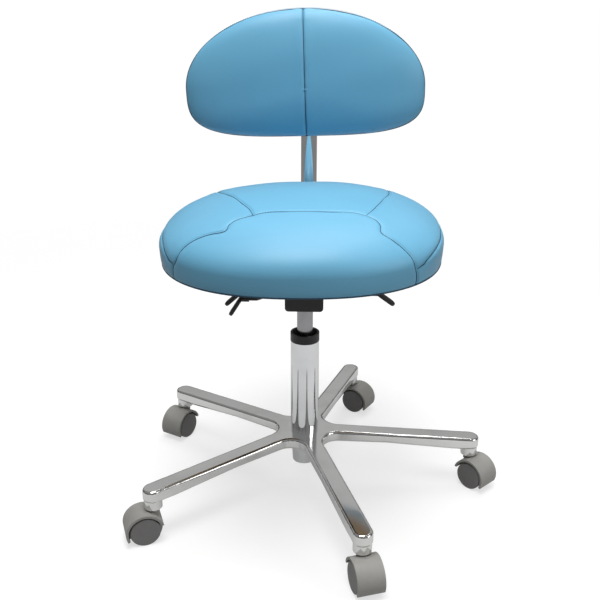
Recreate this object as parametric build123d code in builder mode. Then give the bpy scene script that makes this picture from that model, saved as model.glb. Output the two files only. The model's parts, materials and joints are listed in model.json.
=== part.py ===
from build123d import *

import os
from math import cos, radians, sin

# Dentist stool: five-arm polished base on hooded twin-wheel casters, a gas lift, a three-lever
# mechanism, a round upholstered seat and a bean-shaped backrest on a bent tube.
# Millimetres. Origin on the lift's axis at floor level, +Z up, the sitter faces -Y.

# ---------------------------------------------------------------- driving dimensions

# Fits
RUNNING = 0.05
LOOSE = 0.3
BOLT_CLEARANCE = 0.2

# Casters
WHEEL_RADIUS = 25.0
WHEEL_WIDTH = 14.0
WHEEL_EDGE = 2.0
AXLE_RADIUS = 3.0
CASTER_TRAIL = 18.0
HOOD_GAP = 3.0
HOOD_WALL = 4.0
HOOD_WEB = 14.0
HOOD_SIDE_MARGIN = 1.0
HOOD_START = -25.0
HOOD_SWEEP = 188.0
HOOD_WEB_LIFT = 9.0
HUB_SLACK = 0.5
AXLE_END_DEPTH = 1.5
STEM_RADIUS = 5.5
STEM_BOSS_RADIUS = 9.0
STEM_FLANGE_RADIUS = 11.0
STEM_FLANGE_HEIGHT = 2.5
STEM_ABOVE_AXLE = 4.0
STEM_TOP_COVER = 7.0
STEM_CHAMFER = 1.0
GRIP_RING_HEIGHT = 3.0
GRIP_RING_DROP = 8.0
GRIP_RING_WALL = 1.0
GRIP_NECK = 0.9
CASTERS = {
    "back_left": (144.6, 240.0),
    "front_left": (216.6, 200.0),
    "front_right": (288.6, 287.0),
    "right": (0.6, 314.0),
    "back": (72.6, 330.0),
}

# Base star
CASTER_CIRCLE = 305.0
ARM_WIDTH = 33.0
ARM_TIP_TOP = 95.0
ARM_TIP_SIDE = 22.0
ARM_MID_SIDE = 17.0
ARM_ROOT_SIDE = 21.0
ARM_TIP_RISE = 2.0
ARM_EDGE = 5.0
ARM_WEB_FILLET = 30.0
ARM_CHANNEL_WALL = 6.0
HUB_TOP = 111.0
HUB_RADIUS = 31.0
HUB_HEIGHT = 33.0
CUT_SPARE = 1.0
TIP_BOSS_RADIUS = 15.0

# Gas lift
COLUMN_RADIUS = 25.0
COLUMN_WALL = 2.0
COLUMN_BOTTOM = 46.0
COLUMN_TOP = 285.0
COLUMN_TIP_RADIUS = 21.5
COLUMN_FLOOR_LIFT = 6.0
COLUMN_FLOOR = 3.0
BUSH_LENGTH = 70.0
COLLAR_HEIGHT = 15.0
COLLAR_CUP_DEPTH = 9.0
COLLAR_LIP = 3.0
COLLAR_STEP = 0.5
COLLAR_FLOOR = 4.0
CYLINDER_RADIUS = 14.0
CYLINDER_WALL = 1.5
CYLINDER_BOTTOM = 118.0
CYLINDER_CAP = 6.0
TAPER_LENGTH = 46.0
TAPER_DROP = 1.0
ROD_RADIUS = 5.0
ROD_COLLAR_RADIUS = 8.0
ROD_COLLAR_HEIGHT = 3.0
PISTON_HEIGHT = 12.0
PISTON_CENTRE = 268.0
SEAL_HEIGHT = 8.0
RACE_RADIUS = 15.0
RACE_HEIGHT = 2.0
BALL_RADIUS = 2.0
BALL_COUNT = 10
CLIP_HEIGHT = 1.6
CLIP_RADIUS = 9.0
PIN_RADIUS = 4.0
PIN_REACH = 14.0
PIN_STANDS = 7.5
ROD_END = 2.0

# Mechanism
HOUSING_BOTTOM = 362.0
HOUSING_HEIGHT = 63.0
HOUSING_WIDTH = 64.0
HOUSING_FRONT = -62.0
HOUSING_REAR = 95.0
HOUSING_WALL = 3.0
SOCKET_RADIUS = 24.0
SOCKET_DRAFT = 4.0
SOCKET_SHORT = 2.0
PIVOT_RADIUS = 5.0
PIVOT_OVERHANG = 3.0
EAR_GAP = 1.0
EAR_WALL = 3.0
EAR_RADIUS = 14.0
TILT_PIVOT_Y = -42.0
TILT_PIVOT_Z = 408.0
RECLINE_PIVOT_Y = 70.0
RECLINE_PIVOT_Z = 400.0
CLAMP_PLATE_RADIUS = 12.0
CLAMP_PLATE_THICKNESS = 2.0
CLAMP_PLATES_PER_PACK = 4
LEVER_RADIUS = 3.0
LEVER_HOLE_CLEARANCE = 0.8
LEVER_STRAIGHT = 14.0
LEVER_SLOPE_SHARE = 0.45
LEVER_BEND_SHARE = 0.4
LEVER_BEND_LIMIT = 12.0
PADDLE_LENGTH = 38.0
PADDLE_WIDTH = 17.0
PADDLE_THICKNESS = 6.0
PADDLE_SOCKET_WALL = 2.0
PADDLE_SOCKET_LENGTH = 14.0
PADDLE_BORE_LENGTH = 16.0

# Seat
SEAT_CENTRE_Y = -26.0
SEAT_HALF_WIDTH = 230.0
SEAT_HALF_DEPTH = 226.0
SEAT_PAD_HEIGHT = 94.0
SEAT_WIDEST = 36.0
SEAT_CROWN = 7.0
SEAT_LOWER_ROLL = 16.0
SEAT_UPPER_ROLL = 62.0
SEAT_BOARD = 12.0
SEAT_BOARD_INSET = 34.0
SEAT_PLATE_SIZE = 150.0
SEAT_PLATE_THICKNESS = 3.0
SEAT_PLATE_GAP = 16.0
SEAT_BOLT_RADIUS = 4.0
SEAT_BOLT_HEAD_RADIUS = 6.5
SEAT_BOLT_HEAD_HEIGHT = 5.0
SEAT_BOLT_SPACING = 120.0
SEAT_BOLT_TIP_COVER = 1.0
EDGE_COVER_HEIGHT = 4.0
EDGE_COVER_INSET = 13.0

# Backrest
BACK_HALF_WIDTH = 214.0
BACK_WIDEST_Z = 697.0
BACK_RISE = 134.0
BACK_DROP = 86.0
BACK_LOWER_CORNER = 100.0
BACK_FRONT_Y = 147.0
BACK_PAD_THICKNESS = 50.0
BACK_PAD_ROUND = 20.0
BACK_SHELL_THICKNESS = 13.0
BACK_SHELL_INSET = 5.0
STEM_TUBE_RADIUS = 15.0
STEM_TUBE_WALL = 2.0
STEM_SLEEVE_GAP = 1.0
STEM_TUBE_LOW_Z = 398.0
STEM_TUBE_BEND = 50.0
STEM_TUBE_TOP = 770.0
BRACKET_DEPTH = 55.0
BRACKET_HEIGHT = 32.0
BRACKET_WALL = 5.0
SLEEVE_WIDTH = 52.0
SLEEVE_HEIGHT = 80.0
SLEEVE_WALL = 6.0
SLEEVE_CENTRE_Z = 690.0
FLANGE_WIDTH = 96.0
FLANGE_HEIGHT = 60.0
FLANGE_THICKNESS = 4.0
SCREW_RADIUS = 2.5
SCREW_HEAD_RADIUS = 4.5
SCREW_HEAD_HEIGHT = 3.0
SCREW_DEPTH = 10.0
SCREW_TIP_COVER = 1.0
SCREW_HALF_X = 38.0
SCREW_HALF_Z = 20.0
KNOB_RADIUS = 16.0
KNOB_DEPTH = 20.0
KNOB_STUD_RADIUS = 4.0
KNOB_GAP = 1.0
KNOB_FLUTES = 6
KNOB_FLUTE_RADIUS = 7.0
KNOB_FLUTE_OFFSET = 4.0

# ---------------------------------------------------------------- worked-out places

axle_height = WHEEL_RADIUS
hood_inner = WHEEL_RADIUS + HOOD_GAP
hood_outer = hood_inner + HOOD_WALL
hood_top = axle_height + hood_outer
wheel_inner_face = HOOD_WEB / 2 + HUB_SLACK
wheel_outer_face = wheel_inner_face + WHEEL_WIDTH
hood_half_width = wheel_outer_face + HOOD_SIDE_MARGIN
axle_half_length = wheel_outer_face - AXLE_END_DEPTH
stem_flange_top = hood_top + STEM_FLANGE_HEIGHT
tip_boss_bottom = stem_flange_top + LOOSE
stem_bottom = axle_height + AXLE_RADIUS + STEM_ABOVE_AXLE
stem_top = ARM_TIP_TOP - STEM_TOP_COVER
grip_ring_bottom = stem_top - GRIP_RING_DROP

hub_bottom = HUB_TOP - HUB_HEIGHT
arm_tip_reach = CASTER_CIRCLE + ARM_WIDTH / 2

column_floor_bottom = COLUMN_BOTTOM + COLUMN_FLOOR_LIFT
column_floor_top = column_floor_bottom + COLUMN_FLOOR
column_inner = COLUMN_RADIUS - COLUMN_WALL
ball_centre = column_floor_top + RACE_HEIGHT + BALL_RADIUS
upper_race_bottom = ball_centre + BALL_RADIUS
rod_collar_bottom = upper_race_bottom + RACE_HEIGHT
rod_bottom = column_floor_bottom - 2 * CLIP_HEIGHT
ball_circle = (RACE_RADIUS + ROD_RADIUS) / 2
collar_top = COLUMN_TOP + COLLAR_HEIGHT
cylinder_taper_bottom = HOUSING_BOTTOM
cylinder_top = cylinder_taper_bottom + TAPER_LENGTH
cylinder_inner = CYLINDER_RADIUS - CYLINDER_WALL - TAPER_DROP
socket_bottom = HOUSING_BOTTOM + HOUSING_WALL
housing_top = HOUSING_BOTTOM + HOUSING_HEIGHT
housing_half = HOUSING_WIDTH / 2
pin_top = cylinder_top + PIN_STANDS
height_lever_z = pin_top + LOOSE + LEVER_RADIUS

seat_plate_bottom = housing_top + SEAT_PLATE_GAP
seat_plate_top = seat_plate_bottom + SEAT_PLATE_THICKNESS
seat_board_top = seat_plate_top + SEAT_BOARD
seat_top = seat_board_top + SEAT_PAD_HEIGHT
ear_inner = housing_half + EAR_GAP
pivot_half_length = ear_inner + EAR_WALL + PIVOT_OVERHANG

back_pad_rear = BACK_FRONT_Y + BACK_PAD_THICKNESS
back_shell_rear = back_pad_rear + BACK_SHELL_THICKNESS
back_top = BACK_WIDEST_Z + BACK_RISE
back_bottom = BACK_WIDEST_Z - BACK_DROP
bracket_rear = RECLINE_PIVOT_Y + BRACKET_DEPTH
stem_tube_y = back_shell_rear + SLEEVE_WALL + STEM_SLEEVE_GAP + STEM_TUBE_RADIUS
sleeve_rear = stem_tube_y + STEM_TUBE_RADIUS + SLEEVE_WALL

os.makedirs("parts", exist_ok=True)


def save(piece, label):
    """Label a finished piece and write it under its own name."""
    piece.part.label = label
    export_step(piece.part, f"parts/{label}.step")


def turned(profile, label):
    """Revolve a closed (radius, height) outline about the lift's axis and save it."""
    with BuildPart() as piece:
        with BuildSketch(Plane.XZ):
            with BuildLine():
                Polyline(*profile, close=True)
            make_face()
        revolve(axis=Axis.Z)
    save(piece, label)


# ---------------------------------------------------------------- base star

star_start = CASTERS["back_left"][0]
star_count = len(CASTERS)

with BuildPart() as base_star:
    with BuildSketch() as star_plan:
        with PolarLocations(CASTER_CIRCLE / 2, star_count, start_angle=star_start):
            Rectangle(CASTER_CIRCLE, ARM_WIDTH)
        root_corners = star_plan.vertices().sort_by_distance((0, 0, 0))[:star_count]
        fillet(root_corners, ARM_WEB_FILLET)
        with PolarLocations(CASTER_CIRCLE, star_count, start_angle=star_start):
            Circle(ARM_WIDTH / 2)
    extrude(amount=2 * HUB_TOP)
    with BuildSketch(Plane.XZ):
        with BuildLine():
            Polyline(
                (0, HUB_TOP),
                (HUB_RADIUS, HUB_TOP),
                (arm_tip_reach + CUT_SPARE, ARM_TIP_TOP),
                (arm_tip_reach + CUT_SPARE, ARM_TIP_TOP - ARM_TIP_SIDE),
                (CASTER_CIRCLE - ARM_WIDTH, ARM_TIP_TOP - ARM_TIP_SIDE + ARM_TIP_RISE),
                (CASTER_CIRCLE / 2, (HUB_TOP + ARM_TIP_TOP) / 2 - ARM_MID_SIDE),
                (HUB_RADIUS, HUB_TOP - ARM_ROOT_SIDE),
                (0, HUB_TOP - ARM_ROOT_SIDE),
                close=True,
            )
        make_face()
    revolve(axis=Axis.Z, mode=Mode.INTERSECT)
    top_rim = base_star.edges().filter_by(
        lambda edge: edge.center().Z > ARM_TIP_TOP - ARM_TIP_SIDE / 2
        and abs(edge.tangent_at(0.5).Z) < 0.3
        and edge.center().X ** 2 + edge.center().Y ** 2 > (HUB_RADIUS + CUT_SPARE) ** 2
    )
    fillet(top_rim, ARM_EDGE)
    with BuildSketch(Plane.XY.offset(hub_bottom)):
        Circle(HUB_RADIUS)
    extrude(amount=HUB_HEIGHT - ARM_EDGE)
    with BuildSketch(Plane.XY.offset(tip_boss_bottom)):
        with PolarLocations(CASTER_CIRCLE, star_count, start_angle=star_start):
            Circle(TIP_BOSS_RADIUS)
    extrude(amount=ARM_TIP_TOP - ARM_EDGE - tip_boss_bottom)
    channel_near = HUB_RADIUS + 2 * ARM_WIDTH
    channel_far = CASTER_CIRCLE - TIP_BOSS_RADIUS - ARM_WIDTH / 2
    with BuildSketch(Plane.XY.offset(ARM_TIP_TOP - ARM_TIP_SIDE - CUT_SPARE)):
        with PolarLocations((channel_near + channel_far) / 2, star_count, start_angle=star_start):
            SlotCenterToCenter(channel_far - channel_near, ARM_WIDTH - 2 * ARM_CHANNEL_WALL)
    extrude(amount=ARM_TIP_SIDE - ARM_CHANNEL_WALL, mode=Mode.SUBTRACT)
    with BuildSketch(Plane.XY.offset(tip_boss_bottom)):
        with PolarLocations(CASTER_CIRCLE, star_count, start_angle=star_start):
            Circle(STEM_RADIUS + RUNNING)
    extrude(amount=stem_top + CUT_SPARE - tip_boss_bottom, mode=Mode.SUBTRACT)
    with BuildSketch(Plane.XY.offset(grip_ring_bottom)):
        with PolarLocations(CASTER_CIRCLE, star_count, start_angle=star_start):
            Circle(STEM_RADIUS + GRIP_RING_WALL)
    extrude(amount=GRIP_RING_HEIGHT, mode=Mode.SUBTRACT)
    with BuildSketch(Plane.XZ):
        with BuildLine():
            Polyline(
                (0, COLUMN_BOTTOM),
                (COLUMN_TIP_RADIUS, COLUMN_BOTTOM),
                (COLUMN_RADIUS, HUB_TOP),
                (COLUMN_RADIUS, HUB_TOP + CUT_SPARE),
                (0, HUB_TOP + CUT_SPARE),
                close=True,
            )
        make_face()
    revolve(axis=Axis.Z, mode=Mode.SUBTRACT)
save(base_star, "base_star")

with BuildPart() as caster_grip_rings:
    with BuildSketch(Plane.XY.offset(grip_ring_bottom)):
        with PolarLocations(CASTER_CIRCLE, star_count, start_angle=star_start):
            Circle(STEM_RADIUS + GRIP_RING_WALL)
            Circle(STEM_RADIUS - GRIP_NECK + LOOSE, mode=Mode.SUBTRACT)
    extrude(amount=GRIP_RING_HEIGHT)
save(caster_grip_rings, "caster_grip_rings")

# ---------------------------------------------------------------- casters


def build_caster(name, stem_angle, trail_angle):
    """Make one caster: hood, stem, axle and a wheel on each side of the hood's web."""
    stem_spot = (CASTER_CIRCLE * cos(radians(stem_angle)), CASTER_CIRCLE * sin(radians(stem_angle)), 0)
    trail = (cos(radians(trail_angle)), sin(radians(trail_angle)), 0)
    ground = Plane(origin=stem_spot, x_dir=trail, z_dir=(0, 0, 1))
    side = Plane(origin=stem_spot, x_dir=trail, z_dir=(trail[1], -trail[0], 0))
    axle_spot = (CASTER_TRAIL, axle_height)

    with BuildPart() as hood:
        with BuildSketch(side.offset(-hood_half_width)):
            with BuildLine():
                outer = CenterArc(axle_spot, hood_outer, HOOD_START, HOOD_SWEEP)
                inner = CenterArc(axle_spot, hood_inner, HOOD_START, HOOD_SWEEP)
                Line(outer @ 0, inner @ 0)
                Line(outer @ 1, inner @ 1)
            make_face()
        extrude(amount=2 * hood_half_width)
        with BuildSketch(side.offset(-HOOD_WEB / 2)):
            with Locations(axle_spot):
                Circle(hood_inner + HOOD_WALL / 2)
            with Locations((CASTER_TRAIL, HOOD_WEB_LIFT)):
                Rectangle(3 * hood_outer, 2 * hood_outer, align=(Align.CENTER, Align.MAX), mode=Mode.SUBTRACT)
        extrude(amount=HOOD_WEB)
        with BuildSketch(ground.offset(hood_top - HOOD_WALL - HOOD_GAP)):
            Circle(STEM_BOSS_RADIUS)
        extrude(amount=HOOD_WALL + HOOD_GAP)
        with BuildSketch(ground.offset(stem_bottom)):
            Circle(STEM_RADIUS)
        extrude(amount=hood_top, mode=Mode.SUBTRACT)
        with BuildSketch(side.offset(-HOOD_WEB / 2)):
            with Locations(axle_spot):
                Circle(AXLE_RADIUS)
        extrude(amount=HOOD_WEB, mode=Mode.SUBTRACT)
    save(hood, f"caster_{name}_hood")

    with BuildPart() as stem:
        with BuildSketch(ground.offset(stem_bottom)):
            Circle(STEM_RADIUS)
        extrude(amount=stem_top - stem_bottom)
        with BuildSketch(ground.offset(hood_top)):
            Circle(STEM_FLANGE_RADIUS)
        extrude(amount=STEM_FLANGE_HEIGHT)
        with BuildSketch(ground.offset(grip_ring_bottom - LOOSE)):
            Circle(STEM_RADIUS)
            Circle(STEM_RADIUS - GRIP_NECK, mode=Mode.SUBTRACT)
        extrude(amount=GRIP_RING_HEIGHT + 2 * LOOSE, mode=Mode.SUBTRACT)
        chamfer(stem.edges().filter_by(GeomType.CIRCLE).sort_by(Axis.Z)[-1], STEM_CHAMFER)
    save(stem, f"caster_{name}_stem")

    with BuildPart() as axle:
        with BuildSketch(side.offset(-axle_half_length)):
            with Locations(axle_spot):
                Circle(AXLE_RADIUS)
        extrude(amount=2 * axle_half_length)
    save(axle, f"caster_{name}_axle")

    for hand, facing in (("left", -1), ("right", 1)):
        with BuildPart() as wheel:
            with BuildSketch(side.offset(facing * wheel_inner_face)):
                with Locations(axle_spot):
                    Circle(WHEEL_RADIUS)
            extrude(amount=facing * WHEEL_WIDTH)
            rims = wheel.edges().filter_by(GeomType.CIRCLE)
            fillet(rims, WHEEL_EDGE)
            with BuildSketch(side.offset(facing * wheel_inner_face)):
                with Locations(axle_spot):
                    Circle(AXLE_RADIUS + RUNNING)
            extrude(amount=facing * (axle_half_length - wheel_inner_face + LOOSE), mode=Mode.SUBTRACT)
        save(wheel, f"caster_{name}_wheel_{hand}")


for caster_name, (caster_stem_angle, caster_trail_angle) in CASTERS.items():
    build_caster(caster_name, caster_stem_angle, caster_trail_angle)

# ---------------------------------------------------------------- gas lift

taper_slope = (COLUMN_RADIUS - COLUMN_TIP_RADIUS) / (HUB_TOP - COLUMN_BOTTOM)
floor_radius = COLUMN_TIP_RADIUS - COLUMN_WALL
turned(
    [
        (COLUMN_TIP_RADIUS, COLUMN_BOTTOM),
        (COLUMN_RADIUS, HUB_TOP),
        (COLUMN_RADIUS, COLUMN_TOP),
        (column_inner, COLUMN_TOP),
        (column_inner, HUB_TOP),
        (floor_radius + taper_slope * COLUMN_FLOOR_LIFT, column_floor_top),
        (ROD_RADIUS + RUNNING, column_floor_top),
        (ROD_RADIUS + RUNNING, column_floor_bottom),
        (floor_radius, column_floor_bottom),
        (floor_radius, COLUMN_BOTTOM),
    ],
    "column_tube",
)
turned(
    [
        (CYLINDER_RADIUS + RUNNING, COLUMN_TOP - BUSH_LENGTH),
        (column_inner, COLUMN_TOP - BUSH_LENGTH),
        (column_inner, COLUMN_TOP),
        (COLUMN_RADIUS + COLLAR_STEP, COLUMN_TOP),
        (COLUMN_RADIUS + COLLAR_STEP, collar_top),
        (COLUMN_RADIUS - COLLAR_LIP, collar_top),
        (CYLINDER_RADIUS + COLLAR_FLOOR, collar_top - COLLAR_CUP_DEPTH),
        (CYLINDER_RADIUS + RUNNING, collar_top - COLLAR_CUP_DEPTH),
    ],
    "guide_bush",
)


def thrust_race(bottom, bore, label):
    """Turn one flat washer of the thrust bearing."""
    top = bottom + RACE_HEIGHT
    turned([(bore, bottom), (RACE_RADIUS, bottom), (RACE_RADIUS, top), (bore, top)], label)


thrust_race(column_floor_top, ROD_RADIUS + LOOSE, "thrust_race_lower")
thrust_race(upper_race_bottom, ROD_RADIUS, "thrust_race_upper")

with BuildPart() as thrust_balls:
    with Locations(Plane.XY.offset(ball_centre)):
        with PolarLocations(ball_circle, BALL_COUNT):
            Sphere(BALL_RADIUS - RUNNING)
save(thrust_balls, "thrust_balls")

piston_top = PISTON_CENTRE + PISTON_HEIGHT / 2
turned(
    [
        (0, rod_bottom),
        (ROD_RADIUS, rod_bottom),
        (ROD_RADIUS, rod_collar_bottom),
        (ROD_COLLAR_RADIUS, rod_collar_bottom),
        (ROD_COLLAR_RADIUS, rod_collar_bottom + ROD_COLLAR_HEIGHT),
        (ROD_RADIUS, rod_collar_bottom + ROD_COLLAR_HEIGHT),
        (ROD_RADIUS, piston_top + ROD_END),
        (0, piston_top + ROD_END),
    ],
    "piston_rod",
)
turned(
    [
        (ROD_RADIUS, PISTON_CENTRE - PISTON_HEIGHT / 2),
        (cylinder_inner - RUNNING, PISTON_CENTRE - PISTON_HEIGHT / 2),
        (cylinder_inner - RUNNING, piston_top),
        (ROD_RADIUS, piston_top),
    ],
    "piston",
)
turned(
    [
        (ROD_RADIUS, column_floor_bottom - CLIP_HEIGHT - LOOSE),
        (CLIP_RADIUS, column_floor_bottom - CLIP_HEIGHT - LOOSE),
        (CLIP_RADIUS, column_floor_bottom - LOOSE),
        (ROD_RADIUS, column_floor_bottom - LOOSE),
    ],
    "column_clip",
)
turned(
    [
        (cylinder_inner, CYLINDER_BOTTOM),
        (CYLINDER_RADIUS, CYLINDER_BOTTOM),
        (CYLINDER_RADIUS, cylinder_taper_bottom),
        (CYLINDER_RADIUS - TAPER_DROP, cylinder_top),
        (PIN_RADIUS + RUNNING, cylinder_top),
        (PIN_RADIUS + RUNNING, cylinder_top - CYLINDER_CAP),
        (cylinder_inner, cylinder_top - CYLINDER_CAP),
    ],
    "pressure_cylinder",
)
turned(
    [
        (ROD_RADIUS + RUNNING, CYLINDER_BOTTOM),
        (cylinder_inner, CYLINDER_BOTTOM),
        (cylinder_inner, CYLINDER_BOTTOM + SEAL_HEIGHT),
        (ROD_RADIUS + RUNNING, CYLINDER_BOTTOM + SEAL_HEIGHT),
    ],
    "rod_seal",
)

with BuildPart() as release_pin:
    with BuildSketch(Plane.XZ):
        with BuildLine():
            dome = CenterArc((0, pin_top - PIN_RADIUS), PIN_RADIUS, 0, 90)
            Polyline(dome @ 0, (PIN_RADIUS, cylinder_top - PIN_REACH), (0, cylinder_top - PIN_REACH), dome @ 1)
        make_face()
    revolve(axis=Axis.Z)
save(release_pin, "release_pin")

# ---------------------------------------------------------------- mechanism

tilt_pivot = (TILT_PIVOT_Y, TILT_PIVOT_Z)
recline_pivot = (RECLINE_PIVOT_Y, RECLINE_PIVOT_Z)
socket_slope = TAPER_DROP / TAPER_LENGTH
socket_top = cylinder_top - SOCKET_SHORT
turned(
    [
        (CYLINDER_RADIUS - socket_slope * HOUSING_WALL, socket_bottom),
        (SOCKET_RADIUS, socket_bottom),
        (SOCKET_RADIUS - SOCKET_DRAFT, socket_top),
        (CYLINDER_RADIUS - socket_slope * (socket_top - HOUSING_BOTTOM), socket_top),
    ],
    "taper_socket",
)

# hand is the side it comes out of, y and z its hole in the wall, inner where its inner end lies along X,
# reach how far out its outer end is, drop how far that end hangs below the hole, slope the paddle's angle.
LEVERS = {
    "height": {
        "hand": -1,
        "y": 0.0,
        "z": height_lever_z,
        "inner": 10.0,
        "reach": housing_half + 80.0,
        "drop": 47.0,
        "slope": 42.0,
    },
    "tilt": {
        "hand": -1,
        "y": TILT_PIVOT_Y - 10.0,
        "z": TILT_PIVOT_Z - 16.0,
        "inner": 16.0 - housing_half,
        "reach": housing_half + 74.0,
        "drop": 12.0,
        "slope": 58.0,
    },
    "recline": {
        "hand": 1,
        "y": -SOCKET_RADIUS - 6.0,
        "z": RECLINE_PIVOT_Z - 6.0,
        "inner": housing_half - 20.0,
        "reach": housing_half + 92.0,
        "drop": 9.0,
        "slope": 36.0,
    },
}

with BuildPart() as mechanism_housing:
    with BuildSketch(Plane.XY.offset(HOUSING_BOTTOM)):
        with Locations((0, (HOUSING_FRONT + HOUSING_REAR) / 2)):
            Rectangle(HOUSING_WIDTH, HOUSING_REAR - HOUSING_FRONT)
    extrude(amount=HOUSING_HEIGHT)
    bends = mechanism_housing.edges().filter_by(Axis.Y).sort_by(Axis.Z)[:2]
    fillet(bends, 2 * HOUSING_WALL)
    with BuildSketch(Plane.XY.offset(socket_bottom)):
        with Locations((0, HOUSING_FRONT + HOUSING_WALL)):
            Rectangle(
                HOUSING_WIDTH - 2 * HOUSING_WALL,
                2 * (HOUSING_REAR - HOUSING_FRONT),
                align=(Align.CENTER, Align.MIN),
            )
    extrude(amount=HOUSING_HEIGHT, mode=Mode.SUBTRACT)
    with BuildSketch(Plane.XY.offset(HOUSING_BOTTOM)):
        Circle(CYLINDER_RADIUS + RUNNING)
    extrude(amount=HOUSING_WALL, mode=Mode.SUBTRACT)
    with BuildSketch(Plane.YZ.offset(-housing_half)):
        with Locations(tilt_pivot, recline_pivot):
            Circle(PIVOT_RADIUS)
    extrude(amount=HOUSING_WIDTH, mode=Mode.SUBTRACT)
    for lever in LEVERS.values():
        with BuildSketch(Plane.YZ.offset(lever["hand"] * housing_half)):
            with Locations((lever["y"], lever["z"])):
                Circle(LEVER_RADIUS + LEVER_HOLE_CLEARANCE)
        extrude(amount=-lever["hand"] * HOUSING_WALL, mode=Mode.SUBTRACT)
save(mechanism_housing, "mechanism_housing")

with BuildPart() as pivot_shafts:
    with BuildSketch(Plane.YZ.offset(-pivot_half_length)):
        with Locations(tilt_pivot, recline_pivot):
            Circle(PIVOT_RADIUS)
    extrude(amount=2 * pivot_half_length)
save(pivot_shafts, "pivot_shafts")

with BuildPart() as clamp_plates:
    for plate in range(CLAMP_PLATES_PER_PACK):
        plate_x = housing_half / 4 + 2 * plate * CLAMP_PLATE_THICKNESS
        with BuildSketch(Plane.YZ.offset(plate_x)):
            with Locations(tilt_pivot, recline_pivot):
                Circle(CLAMP_PLATE_RADIUS)
                Circle(PIVOT_RADIUS, mode=Mode.SUBTRACT)
        extrude(amount=CLAMP_PLATE_THICKNESS)
save(clamp_plates, "clamp_plates")


def build_lever(name, lever):
    """Bend one lever rod and put its flat paddle on the outer end."""
    hand = lever["hand"]
    wall_x = hand * housing_half
    end_x = hand * lever["reach"]
    end_z = lever["z"] - lever["drop"]
    upright = Plane(origin=(0, lever["y"], 0), x_dir=(1, 0, 0), z_dir=(0, -1, 0))
    corner_near = (wall_x + hand * LEVER_STRAIGHT, lever["z"])
    corner_far = (corner_near[0] + (end_x - wall_x) * LEVER_SLOPE_SHARE, end_z)
    bend = min(LEVER_BEND_SHARE * lever["drop"], LEVER_BEND_LIMIT)
    with BuildPart() as rod:
        with BuildLine(upright) as route:
            FilletPolyline((lever["inner"], lever["z"]), corner_near, corner_far, (end_x, end_z), radius=bend)
        with BuildSketch(Plane(origin=route.line @ 0, z_dir=route.line % 0)):
            Circle(LEVER_RADIUS)
        sweep()
    save(rod, f"{name}_lever")

    slope = radians(lever["slope"])
    outward = (hand * cos(slope), 0, -sin(slope))
    across = (0, hand, 0)
    paddle_origin = (end_x, lever["y"], end_z)
    face = Plane(origin=paddle_origin, x_dir=outward, z_dir=(hand * sin(slope), 0, cos(slope)))
    with BuildPart() as paddle:
        with BuildSketch(face.offset(-PADDLE_THICKNESS / 2)):
            with Locations((PADDLE_LENGTH / 2 - LEVER_RADIUS, 0)):
                SlotOverall(PADDLE_LENGTH, PADDLE_WIDTH)
        extrude(amount=PADDLE_THICKNESS)
        fillet(paddle.edges(), PADDLE_THICKNESS / 3)
        with BuildSketch(Plane(origin=paddle_origin, x_dir=across, z_dir=(-hand, 0, 0))):
            Circle(LEVER_RADIUS + PADDLE_SOCKET_WALL)
        extrude(amount=PADDLE_SOCKET_LENGTH)
        with BuildSketch(Plane(origin=paddle_origin, x_dir=across, z_dir=(-hand, 0, 0))):
            Circle(LEVER_RADIUS)
        extrude(amount=PADDLE_BORE_LENGTH, mode=Mode.SUBTRACT)
    save(paddle, f"{name}_paddle")


for lever_name, lever_sizes in LEVERS.items():
    build_lever(lever_name, lever_sizes)

# ---------------------------------------------------------------- seat

plate_centre_y = SEAT_CENTRE_Y / 2

with BuildPart() as seat_plate:
    with BuildSketch(Plane.XY.offset(seat_plate_bottom)):
        with Locations((0, plate_centre_y)):
            RectangleRounded(SEAT_PLATE_SIZE, SEAT_PLATE_SIZE, EAR_RADIUS)
        with Locations((0, plate_centre_y)):
            with GridLocations(SEAT_BOLT_SPACING, SEAT_BOLT_SPACING, 2, 2):
                Circle(SEAT_BOLT_RADIUS + BOLT_CLEARANCE, mode=Mode.SUBTRACT)
    extrude(amount=SEAT_PLATE_THICKNESS)
    for hand in (-1, 1):
        with BuildSketch(Plane.YZ.offset(hand * ear_inner)):
            with Locations(tilt_pivot):
                Circle(EAR_RADIUS)
            with Locations(tilt_pivot):
                Rectangle(2 * EAR_RADIUS, seat_plate_bottom - TILT_PIVOT_Z, align=(Align.CENTER, Align.MIN))
            with Locations(tilt_pivot):
                Circle(PIVOT_RADIUS + RUNNING, mode=Mode.SUBTRACT)
        extrude(amount=hand * EAR_WALL)
save(seat_plate, "seat_plate")

with BuildPart() as seat_bolts:
    with Locations((0, plate_centre_y)):
        with GridLocations(SEAT_BOLT_SPACING, SEAT_BOLT_SPACING, 2, 2):
            with Locations((0, 0, seat_plate_bottom - SEAT_BOLT_HEAD_HEIGHT)):
                Cylinder(
                    SEAT_BOLT_HEAD_RADIUS,
                    SEAT_BOLT_HEAD_HEIGHT,
                    align=(Align.CENTER, Align.CENTER, Align.MIN),
                )
            with Locations((0, 0, seat_plate_bottom)):
                Cylinder(
                    SEAT_BOLT_RADIUS,
                    SEAT_PLATE_THICKNESS + SEAT_BOARD - SEAT_BOLT_TIP_COVER,
                    align=(Align.CENTER, Align.CENTER, Align.MIN),
                )
save(seat_bolts, "seat_bolts")

with BuildPart() as seat_board:
    with BuildSketch(Plane.XY.offset(seat_plate_top)):
        with Locations((0, SEAT_CENTRE_Y)):
            Ellipse(SEAT_HALF_WIDTH - SEAT_BOARD_INSET, SEAT_HALF_DEPTH - SEAT_BOARD_INSET)
        with Locations((0, plate_centre_y)):
            with GridLocations(SEAT_BOLT_SPACING, SEAT_BOLT_SPACING, 2, 2):
                Circle(SEAT_BOLT_RADIUS + BOLT_CLEARANCE, mode=Mode.SUBTRACT)
    extrude(amount=SEAT_BOARD)
save(seat_board, "seat_board")

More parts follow.
